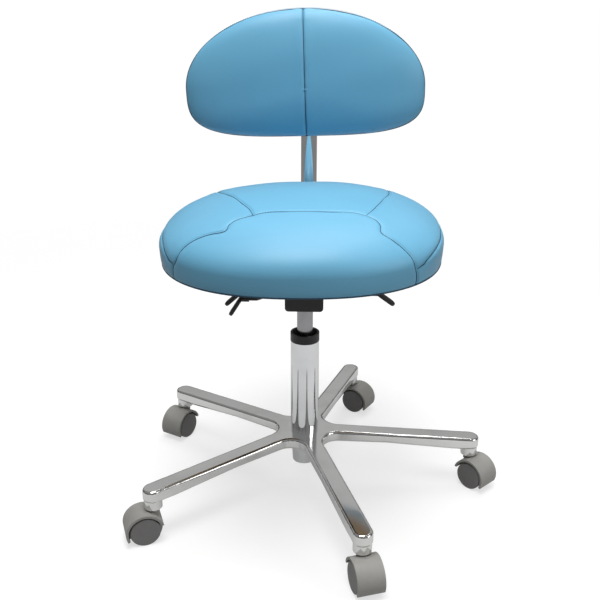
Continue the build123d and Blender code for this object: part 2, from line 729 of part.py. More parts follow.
with BuildPart() as seat_edge_cover:
    with BuildSketch(Plane.XY.offset(seat_board_top - EDGE_COVER_HEIGHT)):
        with Locations((0, SEAT_CENTRE_Y)):
            Ellipse(SEAT_HALF_WIDTH - EDGE_COVER_INSET, SEAT_HALF_DEPTH - EDGE_COVER_INSET)
            Ellipse(
                SEAT_HALF_WIDTH - SEAT_BOARD_INSET + LOOSE,
                SEAT_HALF_DEPTH - SEAT_BOARD_INSET + LOOSE,
                mode=Mode.SUBTRACT,
            )
    extrude(amount=EDGE_COVER_HEIGHT)
save(seat_edge_cover, "seat_edge_cover")

with BuildPart() as round_cushion:
    with BuildSketch(Plane.XZ):
        with BuildLine():
            lower = EllipticalCenterArc(
                (SEAT_HALF_WIDTH - SEAT_LOWER_ROLL, SEAT_WIDEST),
                SEAT_LOWER_ROLL,
                SEAT_WIDEST,
                -90,
                arc_size=90,
            )
            upper = EllipticalCenterArc(
                (SEAT_HALF_WIDTH - SEAT_UPPER_ROLL, SEAT_WIDEST),
                SEAT_UPPER_ROLL,
                SEAT_PAD_HEIGHT - SEAT_CROWN - SEAT_WIDEST,
                0,
                arc_size=90,
            )
            dome = Spline(upper @ 1, (0, SEAT_PAD_HEIGHT), tangents=[(-1, 0), (-1, 0)])
            Polyline(dome @ 1, (0, 0), lower @ 0)
        make_face()
    revolve(axis=Axis.Z)
    scale(by=(1, SEAT_HALF_DEPTH / SEAT_HALF_WIDTH, 1))
with BuildPart() as seat_cushion:
    with Locations((0, SEAT_CENTRE_Y, seat_board_top)):
        add(round_cushion.part)
save(seat_cushion, "seat_cushion")

# ---------------------------------------------------------------- backrest arm

with BuildPart() as back_bracket:
    for hand in (-1, 1):
        with BuildSketch(Plane.YZ.offset(hand * ear_inner)):
            with Locations(recline_pivot):
                Circle(BRACKET_HEIGHT / 2)
            with Locations(recline_pivot):
                Rectangle(BRACKET_DEPTH, BRACKET_HEIGHT, align=(Align.MIN, Align.CENTER))
            with Locations(recline_pivot):
                Circle(PIVOT_RADIUS + RUNNING, mode=Mode.SUBTRACT)
        extrude(amount=hand * EAR_WALL)
    with BuildSketch(Plane.XY.offset(RECLINE_PIVOT_Z - BRACKET_HEIGHT / 2)):
        with Locations((0, bracket_rear)):
            Rectangle(2 * (ear_inner + EAR_WALL), BRACKET_WALL, align=(Align.CENTER, Align.MAX))
    extrude(amount=BRACKET_HEIGHT)
save(back_bracket, "back_bracket")

with BuildPart() as back_stem:
    with BuildLine(Plane.YZ) as stem_route:
        FilletPolyline(
            (bracket_rear, STEM_TUBE_LOW_Z),
            (stem_tube_y, STEM_TUBE_LOW_Z),
            (stem_tube_y, STEM_TUBE_TOP),
            radius=STEM_TUBE_BEND,
        )
    with BuildSketch(Plane(origin=stem_route.line @ 0, z_dir=stem_route.line % 0)):
        Circle(STEM_TUBE_RADIUS)
        Circle(STEM_TUBE_RADIUS - STEM_TUBE_WALL, mode=Mode.SUBTRACT)
    sweep()
save(back_stem, "back_stem")

# ---------------------------------------------------------------- backrest


def back_outline(inset):
    """Return the backrest's bean: a half ellipse above its widest line, round corners and a flat edge below."""
    half_width = BACK_HALF_WIDTH - inset
    low = back_bottom + inset
    corner = BACK_LOWER_CORNER - inset
    with BuildSketch() as bean:
        with BuildLine():
            EllipticalCenterArc((0, BACK_WIDEST_Z), half_width, BACK_RISE - inset, 0, arc_size=180)
            left = EllipticalCenterArc(
                (corner - half_width, BACK_WIDEST_Z), corner, BACK_WIDEST_Z - low, 180, arc_size=90
            )
            right = EllipticalCenterArc(
                (half_width - corner, BACK_WIDEST_Z), corner, BACK_WIDEST_Z - low, 270, arc_size=90
            )
            Line(left @ 1, right @ 0)
        make_face()
    return bean.sketch


with BuildPart() as back_cushion:
    with BuildSketch(Plane.XZ.offset(-BACK_FRONT_Y)):
        add(back_outline(0))
    extrude(amount=-BACK_PAD_THICKNESS)
    front_rim = back_cushion.faces().sort_by(Axis.Y)[0].edges()
    fillet(front_rim, BACK_PAD_ROUND)
save(back_cushion, "back_cushion")

screw_columns = (-SCREW_HALF_X, SCREW_HALF_X)
screw_rows = (SLEEVE_CENTRE_Z - SCREW_HALF_Z, SLEEVE_CENTRE_Z + SCREW_HALF_Z)
screw_spots = [(x, z) for x in screw_columns for z in screw_rows]

with BuildPart() as back_shell:
    with BuildSketch(Plane.XZ.offset(-back_pad_rear)):
        add(back_outline(BACK_SHELL_INSET))
    extrude(amount=-BACK_SHELL_THICKNESS)
    rear_rim = back_shell.faces().sort_by(Axis.Y)[-1].edges()
    fillet(rear_rim, BACK_SHELL_THICKNESS / 2)
    with BuildSketch(Plane.XZ.offset(-back_shell_rear)):
        with Locations(*screw_spots):
            Circle(SCREW_RADIUS)
    extrude(amount=SCREW_DEPTH, mode=Mode.SUBTRACT)
save(back_shell, "back_shell")

with BuildPart() as back_sleeve:
    with BuildSketch(Plane.XY.offset(SLEEVE_CENTRE_Z - SLEEVE_HEIGHT / 2)):
        with Locations((0, back_shell_rear)):
            Rectangle(SLEEVE_WIDTH, sleeve_rear - back_shell_rear, align=(Align.CENTER, Align.MIN))
    extrude(amount=SLEEVE_HEIGHT)
    fillet(back_sleeve.edges().filter_by(Axis.Z).sort_by(Axis.Y)[-2:], SLEEVE_WALL)
    with BuildSketch(Plane.XZ.offset(-back_shell_rear)):
        with Locations((0, SLEEVE_CENTRE_Z)):
            Rectangle(FLANGE_WIDTH, FLANGE_HEIGHT)
        with Locations(*screw_spots):
            Circle(SCREW_RADIUS, mode=Mode.SUBTRACT)
    extrude(amount=-FLANGE_THICKNESS)
    with BuildSketch(Plane.XY.offset(SLEEVE_CENTRE_Z - SLEEVE_HEIGHT)):
        with Locations((0, stem_tube_y)):
            Circle(STEM_TUBE_RADIUS + RUNNING)
    extrude(amount=2 * SLEEVE_HEIGHT, mode=Mode.SUBTRACT)
    with BuildSketch(Plane.XZ.offset(-sleeve_rear)):
        with Locations((0, SLEEVE_CENTRE_Z)):
            Circle(KNOB_STUD_RADIUS + RUNNING)
    extrude(amount=2 * SLEEVE_WALL, mode=Mode.SUBTRACT)
save(back_sleeve, "back_sleeve")

flange_rear = back_shell_rear + FLANGE_THICKNESS
with BuildPart() as back_screws:
    with BuildSketch(Plane.XZ.offset(-flange_rear)):
        with Locations(*screw_spots):
            Circle(SCREW_RADIUS)
    extrude(amount=SCREW_DEPTH + FLANGE_THICKNESS - SCREW_TIP_COVER)
    with BuildSketch(Plane.XZ.offset(-flange_rear)):
        with Locations(*screw_spots):
            Circle(SCREW_HEAD_RADIUS)
    extrude(amount=-SCREW_HEAD_HEIGHT)
save(back_screws, "back_screws")

with BuildPart() as back_knob:
    with BuildSketch(Plane.XZ.offset(-(sleeve_rear + KNOB_GAP))):
        with Locations((0, SLEEVE_CENTRE_Z)):
            Circle(KNOB_RADIUS)
    extrude(amount=-KNOB_DEPTH)
    with BuildSketch(Plane.XZ.offset(-(sleeve_rear + KNOB_GAP))):
        with Locations((0, SLEEVE_CENTRE_Z)):
            with PolarLocations(KNOB_RADIUS + KNOB_FLUTE_OFFSET, KNOB_FLUTES):
                Circle(KNOB_FLUTE_RADIUS)
    extrude(amount=-KNOB_DEPTH, mode=Mode.SUBTRACT)
    with BuildSketch(Plane.XZ.offset(-(sleeve_rear + KNOB_GAP))):
        with Locations((0, SLEEVE_CENTRE_Z)):
            Circle(KNOB_STUD_RADIUS)
    extrude(amount=SLEEVE_WALL + KNOB_GAP / 2)
save(back_knob, "back_knob")
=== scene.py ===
import json
import logging
import math
from dataclasses import dataclass, field
from enum import Enum

import bpy
import numpy as np
from mathutils import Matrix, Vector


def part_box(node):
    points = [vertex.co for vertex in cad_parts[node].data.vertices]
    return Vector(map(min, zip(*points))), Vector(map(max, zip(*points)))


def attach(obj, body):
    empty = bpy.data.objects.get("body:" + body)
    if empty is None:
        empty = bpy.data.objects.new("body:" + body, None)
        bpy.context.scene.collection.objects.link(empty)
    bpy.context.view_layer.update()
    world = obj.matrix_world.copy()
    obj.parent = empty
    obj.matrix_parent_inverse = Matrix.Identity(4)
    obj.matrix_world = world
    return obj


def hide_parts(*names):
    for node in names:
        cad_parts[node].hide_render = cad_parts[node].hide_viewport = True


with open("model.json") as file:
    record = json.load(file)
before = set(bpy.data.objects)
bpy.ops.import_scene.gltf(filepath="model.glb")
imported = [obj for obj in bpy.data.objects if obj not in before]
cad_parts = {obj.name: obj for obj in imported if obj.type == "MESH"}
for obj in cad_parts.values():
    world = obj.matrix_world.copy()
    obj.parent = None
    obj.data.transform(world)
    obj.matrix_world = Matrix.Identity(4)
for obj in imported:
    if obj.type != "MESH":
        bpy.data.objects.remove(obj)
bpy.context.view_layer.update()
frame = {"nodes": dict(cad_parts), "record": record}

log = logging.getLogger("stool")

MM = 0.001
TAU = 2.0 * math.pi


class Finish(Enum):
    """The object's finishes, by the name that their materials carry."""

    UPHOLSTERY = "sky_blue_leatherette"
    # Painted shade: the piping material is near-black blue and stands in for the shadow along the pads' edge
    # seams.
    PIPING = "piping_painted_seam_shade"
    # Painted shade: the seam material is near-black blue and stands in for the shadow in the seam grooves.
    SEAM = "seam_groove_painted_shade"
    THREAD = "stitch_thread"
    CAST = "polished_casting"
    CHROME = "bright_chrome"
    GROUND = "ground_piston_steel"
    ZINC = "bright_zinc"
    POWDER = "black_powder_coat"
    BLACK_PLASTIC = "black_plastic"
    HOOD = "caster_hood_grey"
    WHEEL = "caster_wheel_grey"
    RUBBER = "seal_rubber"
    PLY = "birch_plywood"
    EDGE = "light_edge_cover"


# ---------------------------------------------------------------- node helpers


class NodeSketch:
    """A small hand for laying out a node tree: adds nodes and wires them by socket name."""

    def __init__(self, tree: bpy.types.NodeTree) -> None:
        """Keep the tree that nodes go into.

        Args:
            tree: a material's or group's node tree.
        """
        self.tree = tree
        self.column = 0

    def add(self, kind: str, values: dict | None = None, **settings: object) -> bpy.types.Node:
        """Add a node, set its properties and its input sockets.

        Args:
            kind: the node's type name, such as ShaderNodeTexNoise.
            values: input socket name or index to a constant or to another node's output socket.
            settings: properties of the node itself.

        Returns:
            The new node.
        """
        node = self.tree.nodes.new(kind)
        self.column += 1
        node.location = (180 * (self.column % 9), -240 * (self.column // 9))
        for name, value in settings.items():
            setattr(node, name, value)
        for socket, value in (values or {}).items():
            if isinstance(value, bpy.types.NodeSocket):
                self.tree.links.new(value, node.inputs[socket])
            else:
                node.inputs[socket].default_value = value
        return node

    def math(
        self, operation: str, first: object, second: object = 0.0, clamp: bool = False
    ) -> bpy.types.NodeSocket:
        """Add a Math node and return its result.

        Args:
            operation: the Math node's operation.
            first: first number or socket.
            second: second number or socket.
            clamp: keep the result between 0 and 1.

        Returns:
            The output socket.
        """
        node = self.add("ShaderNodeMath", {0: first, 1: second}, operation=operation, use_clamp=clamp)
        return node.outputs[0]

    def ramp(
        self, factor: bpy.types.NodeSocket, low: float, high: float, start: float, end: float
    ) -> bpy.types.NodeSocket:
        """Map a factor from low..high to start..end with a smooth step.

        Args:
            factor: the socket to map.
            low: input value that gives start.
            high: input value that gives end.
            start: result at low.
            end: result at high.

        Returns:
            The output socket.
        """
        node = self.add(
            "ShaderNodeMapRange",
            {"Value": factor, "From Min": low, "From Max": high, "To Min": start, "To Max": end},
            interpolation_type="SMOOTHSTEP",
        )
        return node.outputs["Result"]

    def blend(
        self, factor: object, first: object, second: object, mode: str = "MIX"
    ) -> bpy.types.NodeSocket:
        """Mix two colours.

        Args:
            factor: how much of the second colour.
            first: first colour or socket.
            second: second colour or socket.
            mode: the Mix node's blend type.

        Returns:
            The mixed colour's socket.
        """
        node = self.add(
            "ShaderNodeMix", {0: factor, 6: first, 7: second}, data_type="RGBA", blend_type=mode
        )
        return node.outputs[2]


def group_of(name: str, inputs: dict[str, float], outputs: tuple[str, ...]) -> tuple[
    bpy.types.NodeTree, NodeSketch, bpy.types.Node, bpy.types.Node
]:
    """Start a shader node group with named sockets.

    Args:
        name: the group's name.
        inputs: float input names and their defaults.
        outputs: float output names.

    Returns:
        The tree, a sketch on it, its input node and its output node.
    """
    tree = bpy.data.node_groups.new(name, "ShaderNodeTree")
    tree.interface.new_socket("Vector", in_out="INPUT", socket_type="NodeSocketVector")
    for socket_name, default in inputs.items():
        socket = tree.interface.new_socket(socket_name, in_out="INPUT", socket_type="NodeSocketFloat")
        socket.default_value = default
    for socket_name in outputs:
        tree.interface.new_socket(socket_name, in_out="OUTPUT", socket_type="NodeSocketFloat")
    sketch = NodeSketch(tree)
    return tree, sketch, sketch.add("NodeGroupInput"), sketch.add("NodeGroupOutput")


def build_hide_grain() -> bpy.types.NodeTree:
    """Pebbled leatherette grain: creases between Voronoi cells, broken up by fine noise.

    Returns:
        The group, with Height and Pores outputs.
    """
    tree, sketch, entry, leave = group_of(
        "hide_grain", {"Scale": 900.0, "Break-up": 0.35}, ("Height", "Pores")
    )
    warp = sketch.add(
        "ShaderNodeTexNoise", {"Vector": entry.outputs["Vector"], "Scale": 240.0, "Detail": 2.0}
    )
    moved = sketch.add(
        "ShaderNodeVectorMath",
        {0: warp.outputs["Color"], 1: (0.0012, 0.0012, 0.0012)},
        operation="MULTIPLY",
    )
    place = sketch.add(
        "ShaderNodeVectorMath", {0: entry.outputs["Vector"], 1: moved.outputs[0]}, operation="ADD"
    )
    cells = sketch.add(
        "ShaderNodeTexVoronoi", {
            "Vector": place.outputs[0], "Scale": entry.outputs["Scale"]
        }, feature="DISTANCE_TO_EDGE"
    )
    fine = sketch.add("ShaderNodeTexNoise", {"Vector": place.outputs[0], "Scale": 2600.0, "Detail": 3.0})
    pebble = sketch.ramp(cells.outputs["Distance"], 0.0, 0.22, 0.0, 1.0)
    rough = sketch.math("MULTIPLY", fine.outputs[0], entry.outputs["Break-up"])
    height = sketch.math("ADD", pebble, rough)
    pores = sketch.math("SUBTRACT", 1.0, pebble)
    sketch.tree.links.new(height, leave.inputs["Height"])
    sketch.tree.links.new(pores, leave.inputs["Pores"])
    return tree


def build_handling() -> bpy.types.NodeTree:
    """Smudges and dust left by use: broad soft patches times a finer mottling.

    Returns:
        The group, with Smudge and Dust outputs.
    """
    tree, sketch, entry, leave = group_of(
        "handling", {"Patch Scale": 9.0, "Speck Scale": 420.0}, ("Smudge", "Dust")
    )
    patch = sketch.add(
        "ShaderNodeTexNoise",
        {
            "Vector": entry.outputs["Vector"],
            "Scale": entry.outputs["Patch Scale"],
            "Detail": 4.0,
            "Roughness": 0.55,
        },
    )
    mottling = sketch.add(
        "ShaderNodeTexNoise", {"Vector": entry.outputs["Vector"], "Scale": 60.0, "Detail": 3.0}
    )
    specks = sketch.add(
        "ShaderNodeTexNoise", {"Vector": entry.outputs["Vector"], "Scale": entry.outputs["Speck Scale"]}
    )
    smudge = sketch.math(
        "MULTIPLY", sketch.ramp(patch.outputs[0], 0.42, 0.68, 0.0, 1.0), mottling.outputs[0]
    )
    dust = sketch.ramp(specks.outputs[0], 0.66, 0.74, 0.0, 1.0)
    sketch.tree.links.new(smudge, leave.inputs["Smudge"])
    sketch.tree.links.new(dust, leave.inputs["Dust"])
    return tree


def build_moulding() -> bpy.types.NodeTree:
    """Spark-eroded mould texture: two sizes of fine noise.

    Returns:
        The group, with a Height output.
    """
    tree, sketch, entry, leave = group_of("moulding", {"Scale": 1400.0}, ("Height",))
    coarse = sketch.add(
        "ShaderNodeTexNoise",
        {"Vector": entry.outputs["Vector"], "Scale": entry.outputs["Scale"], "Detail": 4.0},
    )
    broad = sketch.add(
        "ShaderNodeTexNoise", {"Vector": entry.outputs["Vector"], "Scale": 90.0, "Detail": 1.0}
    )
    height = sketch.math("ADD", coarse.outputs[0], sketch.math("MULTIPLY", broad.outputs[0], 0.5))
    sketch.tree.links.new(height, leave.inputs["Height"])
    return tree


def build_turning() -> bpy.types.NodeTree:
    """Fine grinding lines round a vertical axis: noise squeezed along Z.

    Returns:
        The group, with a Lines output.
    """
    tree, sketch, entry, leave = group_of("turning", {"Line Scale": 2200.0}, ("Lines",))
    squeezed = sketch.add(
        "ShaderNodeVectorMath", {0: entry.outputs["Vector"], 1: (0.02, 0.02, 1.0)}, operation="MULTIPLY"
    )
    lines = sketch.add(
        "ShaderNodeTexNoise", {
            "Vector": squeezed.outputs[0], "Scale": entry.outputs["Line Scale"], "Detail": 3.0
        }
    )
    sketch.tree.links.new(lines.outputs[0], leave.inputs["Lines"])
    return tree


class Effects:
    """The node groups that several materials share, each built once."""

    def __init__(self) -> None:
        """Build every group."""
        self.hide_grain = build_hide_grain()
        self.handling = build_handling()
        self.moulding = build_moulding()
        self.turning = build_turning()

    @staticmethod
    def place(
        sketch: NodeSketch, group: bpy.types.NodeTree, where: bpy.types.NodeSocket, **values: float
    ) -> bpy.types.Node:
        """Put a group into a material.

        Args:
            sketch: the material's sketch.
            group: the node group.
            where: the coordinate socket it reads.
            values: group input names, with underscores for spaces, and their numbers.

        Returns:
            The group node.
        """
        node = sketch.add("ShaderNodeGroup", node_tree=group)
        sketch.tree.links.new(where, node.inputs["Vector"])
        for name, value in values.items():
            node.inputs[name.replace("_", " ")].default_value = value
        return node


def start_material(name: str) -> tuple[
    bpy.types.Material, NodeSketch, bpy.types.Node, bpy.types.NodeSocket
]:
    """Start a node material with a Principled shader and Object coordinates.

    Args:
        name: the material's name.

    Returns:
        The material, a sketch on its tree, its Principled node and the Object coordinate socket.
    """
    material = bpy.data.materials.new(name)
    material.use_nodes = True
    material.node_tree.nodes.clear()
    sketch = NodeSketch(material.node_tree)
    leave = sketch.add("ShaderNodeOutputMaterial")
    shader = sketch.add("ShaderNodeBsdfPrincipled")
    sketch.tree.links.new(shader.outputs[0], leave.inputs["Surface"])
    where = sketch.add("ShaderNodeTexCoord").outputs["Object"]
    return material, sketch, shader, where


def bump(
    sketch: NodeSketch, shader: bpy.types.Node, height: bpy.types.NodeSocket, strength: float, depth: float
) -> None:
    """Feed a height into the shader's normal.

    Args:
        sketch: the material's sketch.
        shader: the Principled node.
        height: the height socket.
        strength: how strongly the bump shows.
        depth: the real depth of the relief in metres.
    """
    node = sketch.add("ShaderNodeBump", {"Height": height, "Strength": strength, "Distance": depth})
    sketch.tree.links.new(node.outputs[0], shader.inputs["Normal"])


# ---------------------------------------------------------------- finishes


@dataclass(frozen=True)
class Leatherette:
    """Smooth coated upholstery with a fine pebble, slight mottling and a soft sheen."""

    name: str
    colour: tuple[float, float, float, float]
    deep: tuple[float, float, float, float]
    roughness: float = 0.42
    grain_scale: float = 900.0
    relief: float = 0.00006

    def build(self, effects: Effects) -> bpy.types.Material:
        """Make the material.

        Args:
            effects: the shared node groups.

        Returns:
            The material.
        """
        material, sketch, shader, where = start_material(self.name)
        grain = effects.place(sketch, effects.hide_grain, where, Scale=self.grain_scale)
        touch = effects.place(sketch, effects.handling, where, Patch_Scale=5.0)
        tone = sketch.add("ShaderNodeTexNoise", {"Vector": where, "Scale": 3.5, "Detail": 3.0})
        shade = sketch.ramp(tone.outputs[0], 0.3, 0.7, 0.0, 0.16)
        base = sketch.blend(shade, self.colour, self.deep)
        # Painted shade: the creases between the grain's pebbles are darkened up to 16% towards the deep colour.
        crease_shaded = sketch.blend(sketch.math("MULTIPLY", grain.outputs["Pores"], 0.16), base, self.deep)
        sketch.tree.links.new(crease_shaded, shader.inputs["Base Color"])
        polish = sketch.math("MULTIPLY_ADD", touch.outputs["Smudge"], -0.10)
        polish.node.inputs[2].default_value = self.roughness
        rough = sketch.math(
            "ADD", polish, sketch.math("MULTIPLY", grain.outputs["Pores"], 0.10), clamp=True
        )
        sketch.tree.links.new(rough, shader.inputs["Roughness"])
        bump(sketch, shader, grain.outputs["Height"], 0.35, self.relief)
        shader.inputs["Specular IOR Level"].default_value = 0.42
        shader.inputs["Sheen Weight"].default_value = 0.08
        shader.inputs["Sheen Roughness"].default_value = 0.4
        return material


@dataclass(frozen=True)
class PlatedMetal:
    """A polished, plated or cast metal with smudges and a little waviness."""

    name: str
    colour: tuple[float, float, float, float]
    dull: tuple[float, float, float, float]
    roughness: float
    smudged: float
    wave_scale: float = 28.0
    wave_depth: float = 0.0002
    grain: float = 0.0

    def build(self, effects: Effects) -> bpy.types.Material:
        """Make the material.

        Args:
            effects: the shared node groups.

        Returns:
            The material.
        """
        material, sketch, shader, where = start_material(self.name)
        touch = effects.place(sketch, effects.handling, where, Patch_Scale=14.0)
        colour = sketch.blend(sketch.math("MULTIPLY", touch.outputs["Smudge"], 0.8), self.colour, self.dull)
        dusted = sketch.blend(sketch.math("MULTIPLY", touch.outputs["Dust"], 0.25), colour, self.dull)
        sketch.tree.links.new(dusted, shader.inputs["Base Color"])
        rough = sketch.math("MULTIPLY_ADD", touch.outputs["Smudge"], self.smudged)
        rough.node.inputs[2].default_value = self.roughness
        sketch.tree.links.new(rough, shader.inputs["Roughness"])
        wave = sketch.add("ShaderNodeTexNoise", {"Vector": where, "Scale": self.wave_scale, "Detail": 1.0})
        if self.grain > 0.0:
            lines = effects.place(sketch, effects.turning, where)
            fine = sketch.math("MULTIPLY", lines.outputs["Lines"], self.grain)
            bump(sketch, shader, sketch.math("ADD", wave.outputs[0], fine), 0.4, self.wave_depth)
        else:
            bump(sketch, shader, wave.outputs[0], 0.25, self.wave_depth)
        shader.inputs["Metallic"].default_value = 1.0
        return material


@dataclass(frozen=True)
class Moulded:
    """Moulded plastic, rubber or powder coat with a fine texture."""

    name: str
    colour: tuple[float, float, float, float]
    worn: tuple[float, float, float, float]
    roughness: float = 0.45
    texture_scale: float = 1400.0
    relief: float = 0.00005

    def build(self, effects: Effects) -> bpy.types.Material:
        """Make the material.

        Args:
            effects: the shared node groups.

        Returns:
            The material.
        """
        material, sketch, shader, where = start_material(self.name)
        texture = effects.place(sketch, effects.moulding, where, Scale=self.texture_scale)
        touch = effects.place(sketch, effects.handling, where, Patch_Scale=30.0)
        scuffed = sketch.blend(
            sketch.math("MULTIPLY", touch.outputs["Smudge"], 0.55), self.colour, self.worn
        )
        dusted = sketch.blend(sketch.math("MULTIPLY", touch.outputs["Dust"], 0.35), scuffed, self.worn)
        sketch.tree.links.new(dusted, shader.inputs["Base Color"])
        rough = sketch.math("MULTIPLY_ADD", touch.outputs["Smudge"], 0.18)
        rough.node.inputs[2].default_value = self.roughness
        sketch.tree.links.new(rough, shader.inputs["Roughness"])
        bump(sketch, shader, texture.outputs["Height"], 0.3, self.relief)
        return material


@dataclass(frozen=True)
class Plywood:
    """Rotary-cut ply: long grain on the faces and thin bands on the edges."""

    name: str
    light: tuple[float, float, float, float]
    dark: tuple[float, float, float, float]

    def build(self, effects: Effects) -> bpy.types.Material:
        """Make the material.

        Args:
            effects: the shared node groups.

        Returns:
            The material.
        """
        material, sketch, shader, where = start_material(self.name)
        stretched = sketch.add(
            "ShaderNodeVectorMath", {0: where, 1: (3.0, 60.0, 420.0)}, operation="MULTIPLY"
        )
        figure = sketch.add(
            "ShaderNodeTexNoise", {"Vector": stretched.outputs[0], "Scale": 1.0, "Detail": 5.0}
        )
        colour = sketch.blend(sketch.ramp(figure.outputs[0], 0.35, 0.65, 0.0, 1.0), self.light, self.dark)
        sketch.tree.links.new(colour, shader.inputs["Base Color"])
        shader.inputs["Roughness"].default_value = 0.62
        bump(sketch, shader, figure.outputs[0], 0.3, 0.0001)
        return material


FINISHES = (
    Leatherette(Finish.UPHOLSTERY.value, (0.165, 0.465, 0.680, 1), (0.115, 0.375, 0.590, 1)),
    # Painted shade: the piping's near-black blue stands in for the shadow along the edge seams.
    Leatherette(
        Finish.PIPING.value, (0.012, 0.055, 0.105, 1), (0.006, 0.030, 0.060, 1), 0.5, 1400.0, 0.00004
    ),
    # Painted shade: the seam material is near-black blue so the sunk seam tubes read as the grooves' shadow.
    Leatherette(
        Finish.SEAM.value, (0.010, 0.060, 0.110, 1), (0.006, 0.040, 0.080, 1), 0.6, 1400.0, 0.00004
    ),
    Moulded(Finish.THREAD.value, (0.120, 0.400, 0.600, 1), (0.160, 0.450, 0.640, 1), 0.6, 2600.0, 0.00006),
    PlatedMetal(Finish.CAST.value, (0.84, 0.84, 0.83, 1), (0.70, 0.70, 0.69, 1), 0.09, 0.12, 16.0, 0.0008),
    PlatedMetal(
        Finish.CHROME.value, (0.86, 0.87, 0.88, 1), (0.74, 0.75, 0.76, 1), 0.045, 0.10, 12.0, 0.0001
    ),
    PlatedMetal(
        Finish.GROUND.value, (0.40, 0.40, 0.41, 1), (0.30, 0.30, 0.31, 1), 0.20, 0.12, 20.0, 0.00006, 0.6
    ),
    PlatedMetal(
        Finish.ZINC.value, (0.62, 0.63, 0.64, 1), (0.46, 0.46, 0.45, 1), 0.30, 0.20, 60.0, 0.0001, 0.4
    ),
    Moulded(Finish.POWDER.value, (0.018, 0.018, 0.019, 1), (0.05, 0.05, 0.05, 1), 0.42, 1800.0, 0.0001),
    Moulded(Finish.BLACK_PLASTIC.value, (0.014, 0.014, 0.015, 1), (0.045, 0.045, 0.045, 1), 0.38),
    Moulded(Finish.HOOD.value, (0.330, 0.325, 0.305, 1), (0.40, 0.395, 0.375, 1), 0.44),
    Moulded(Finish.WHEEL.value, (0.205, 0.200, 0.198, 1), (0.27, 0.265, 0.26, 1), 0.48),
    Moulded(Finish.RUBBER.value, (0.012, 0.012, 0.012, 1), (0.04, 0.04, 0.04, 1), 0.8),
    Plywood(Finish.PLY.value, (0.56, 0.39, 0.22, 1), (0.36, 0.22, 0.11, 1)),
    Moulded(Finish.EDGE.value, (0.72, 0.73, 0.74, 1), (0.60, 0.60, 0.60, 1), 0.5),
)

SLOT_FINISH = {
    "polished_aluminium": Finish.CAST,
    "chrome_tube": Finish.CHROME,
    "ground_steel": Finish.GROUND,
    "zinc_steel": Finish.ZINC,
    "black_steel": Finish.POWDER,
    "black_plastic": Finish.BLACK_PLASTIC,
    "seal_rubber": Finish.RUBBER,
    "plywood": Finish.PLY,
    "upholstery": Finish.UPHOLSTERY,
    "edge_cover": Finish.EDGE,
    "caster_grey": Finish.HOOD,
    "wheel_grey": Finish.WHEEL,
}


class Workshop:
    """Holds the built materials and hands them out by finish."""

    def __init__(self) -> None:
        """Build every effect group and material."""
        effects = Effects()
        self.materials = {finish.name: finish.build(effects) for finish in FINISHES}

    def dress(self, piece: bpy.types.Object, finish: Finish) -> None:
        """Give a new piece its only material.

        Args:
            piece: the mesh object.
            finish: which finish it takes.
        """
        piece.data.materials.clear()
        piece.data.materials.append(self.materials[finish.value])

    def dress_frame(self) -> None:
        """Give every CAD node the finish of its slot in the record."""
        slots = {part["node"]: part["material_slot"] for part in frame["record"]["subparts"]}
        for node, piece in frame["nodes"].items():
            material = self.materials[SLOT_FINISH[slots[node]].value]
            for slot in piece.material_slots:
                slot.material = material


# ---------------------------------------------------------------- mesh helpers


def lattice_faces(rows: int, columns: int, wrap_rows: bool) -> np.ndarray:
    """Quads of a grid whose columns close round.

    Args:
        rows: number of rows.
        columns: number of columns, which wrap.
        wrap_rows: whether the last row joins the first.

    Returns:
        An array of four vertex numbers per quad.
    """
    row = np.arange(rows if wrap_rows else rows - 1)[:, None]
    column = np.arange(columns)[None, :]
    ahead = (row + 1) % rows
    beside = (column + 1) % columns
    corners = (
        row * columns + column,
        row * columns + beside,
        ahead * columns + beside,
        ahead * columns + column,
    )
    return np.stack([np.broadcast_to(c, (len(row), columns)) for c in corners], axis=-1).reshape(-1, 4)


def new_piece(name: str, vertices: np.ndarray, faces: list, smooth: bool = True) -> bpy.types.Object:
    """Make a mesh object at the origin.

    Args:
        name: the piece's name.
        vertices: points in metres, one per row.
        faces: vertex numbers of each face.
        smooth: shade smooth.

    Returns:
        The object, linked to the scene.
    """
    mesh = bpy.data.meshes.new(name)
    mesh.from_pydata(vertices.tolist(), [], faces)
    mesh.polygons.foreach_set("use_smooth", np.full(len(mesh.polygons), smooth))
    mesh.update()
    piece = bpy.data.objects.new(name, mesh)
    bpy.context.scene.collection.objects.link(piece)
    return piece


def capped_lattice(name: str, grid: np.ndarray, first: np.ndarray, last: np.ndarray) -> bpy.types.Object:
    """Make a closed surface from a grid of rings and a pole point at each end.

    Args:
        name: the piece's name.
        grid: rings of points, shape rows by columns by three.
        first: the pole before the first ring.
        last: the pole after the last ring.

    Returns:
        The object.
    """
    rows, columns, _ = grid.shape
    vertices = np.vstack([grid.reshape(-1, 3), first[None, :], last[None, :]])
    quads = lattice_faces(rows, columns, False)
    column = np.arange(columns)
    beside = (column + 1) % columns
    start = np.full(columns, rows * columns)
    top_fan = np.stack([start, beside, column], axis=-1)
    bottom = (rows - 1) * columns
    bottom_fan = np.stack([start + 1, bottom + column, bottom + beside], axis=-1)
    return new_piece(name, vertices, quads.tolist() + top_fan.tolist() + bottom_fan.tolist())


def unit(vectors: np.ndarray) -> np.ndarray:
    """Scale each vector to length one."""
    return vectors / np.maximum(np.linalg.norm(vectors, axis=-1, keepdims=True), 1e-12)


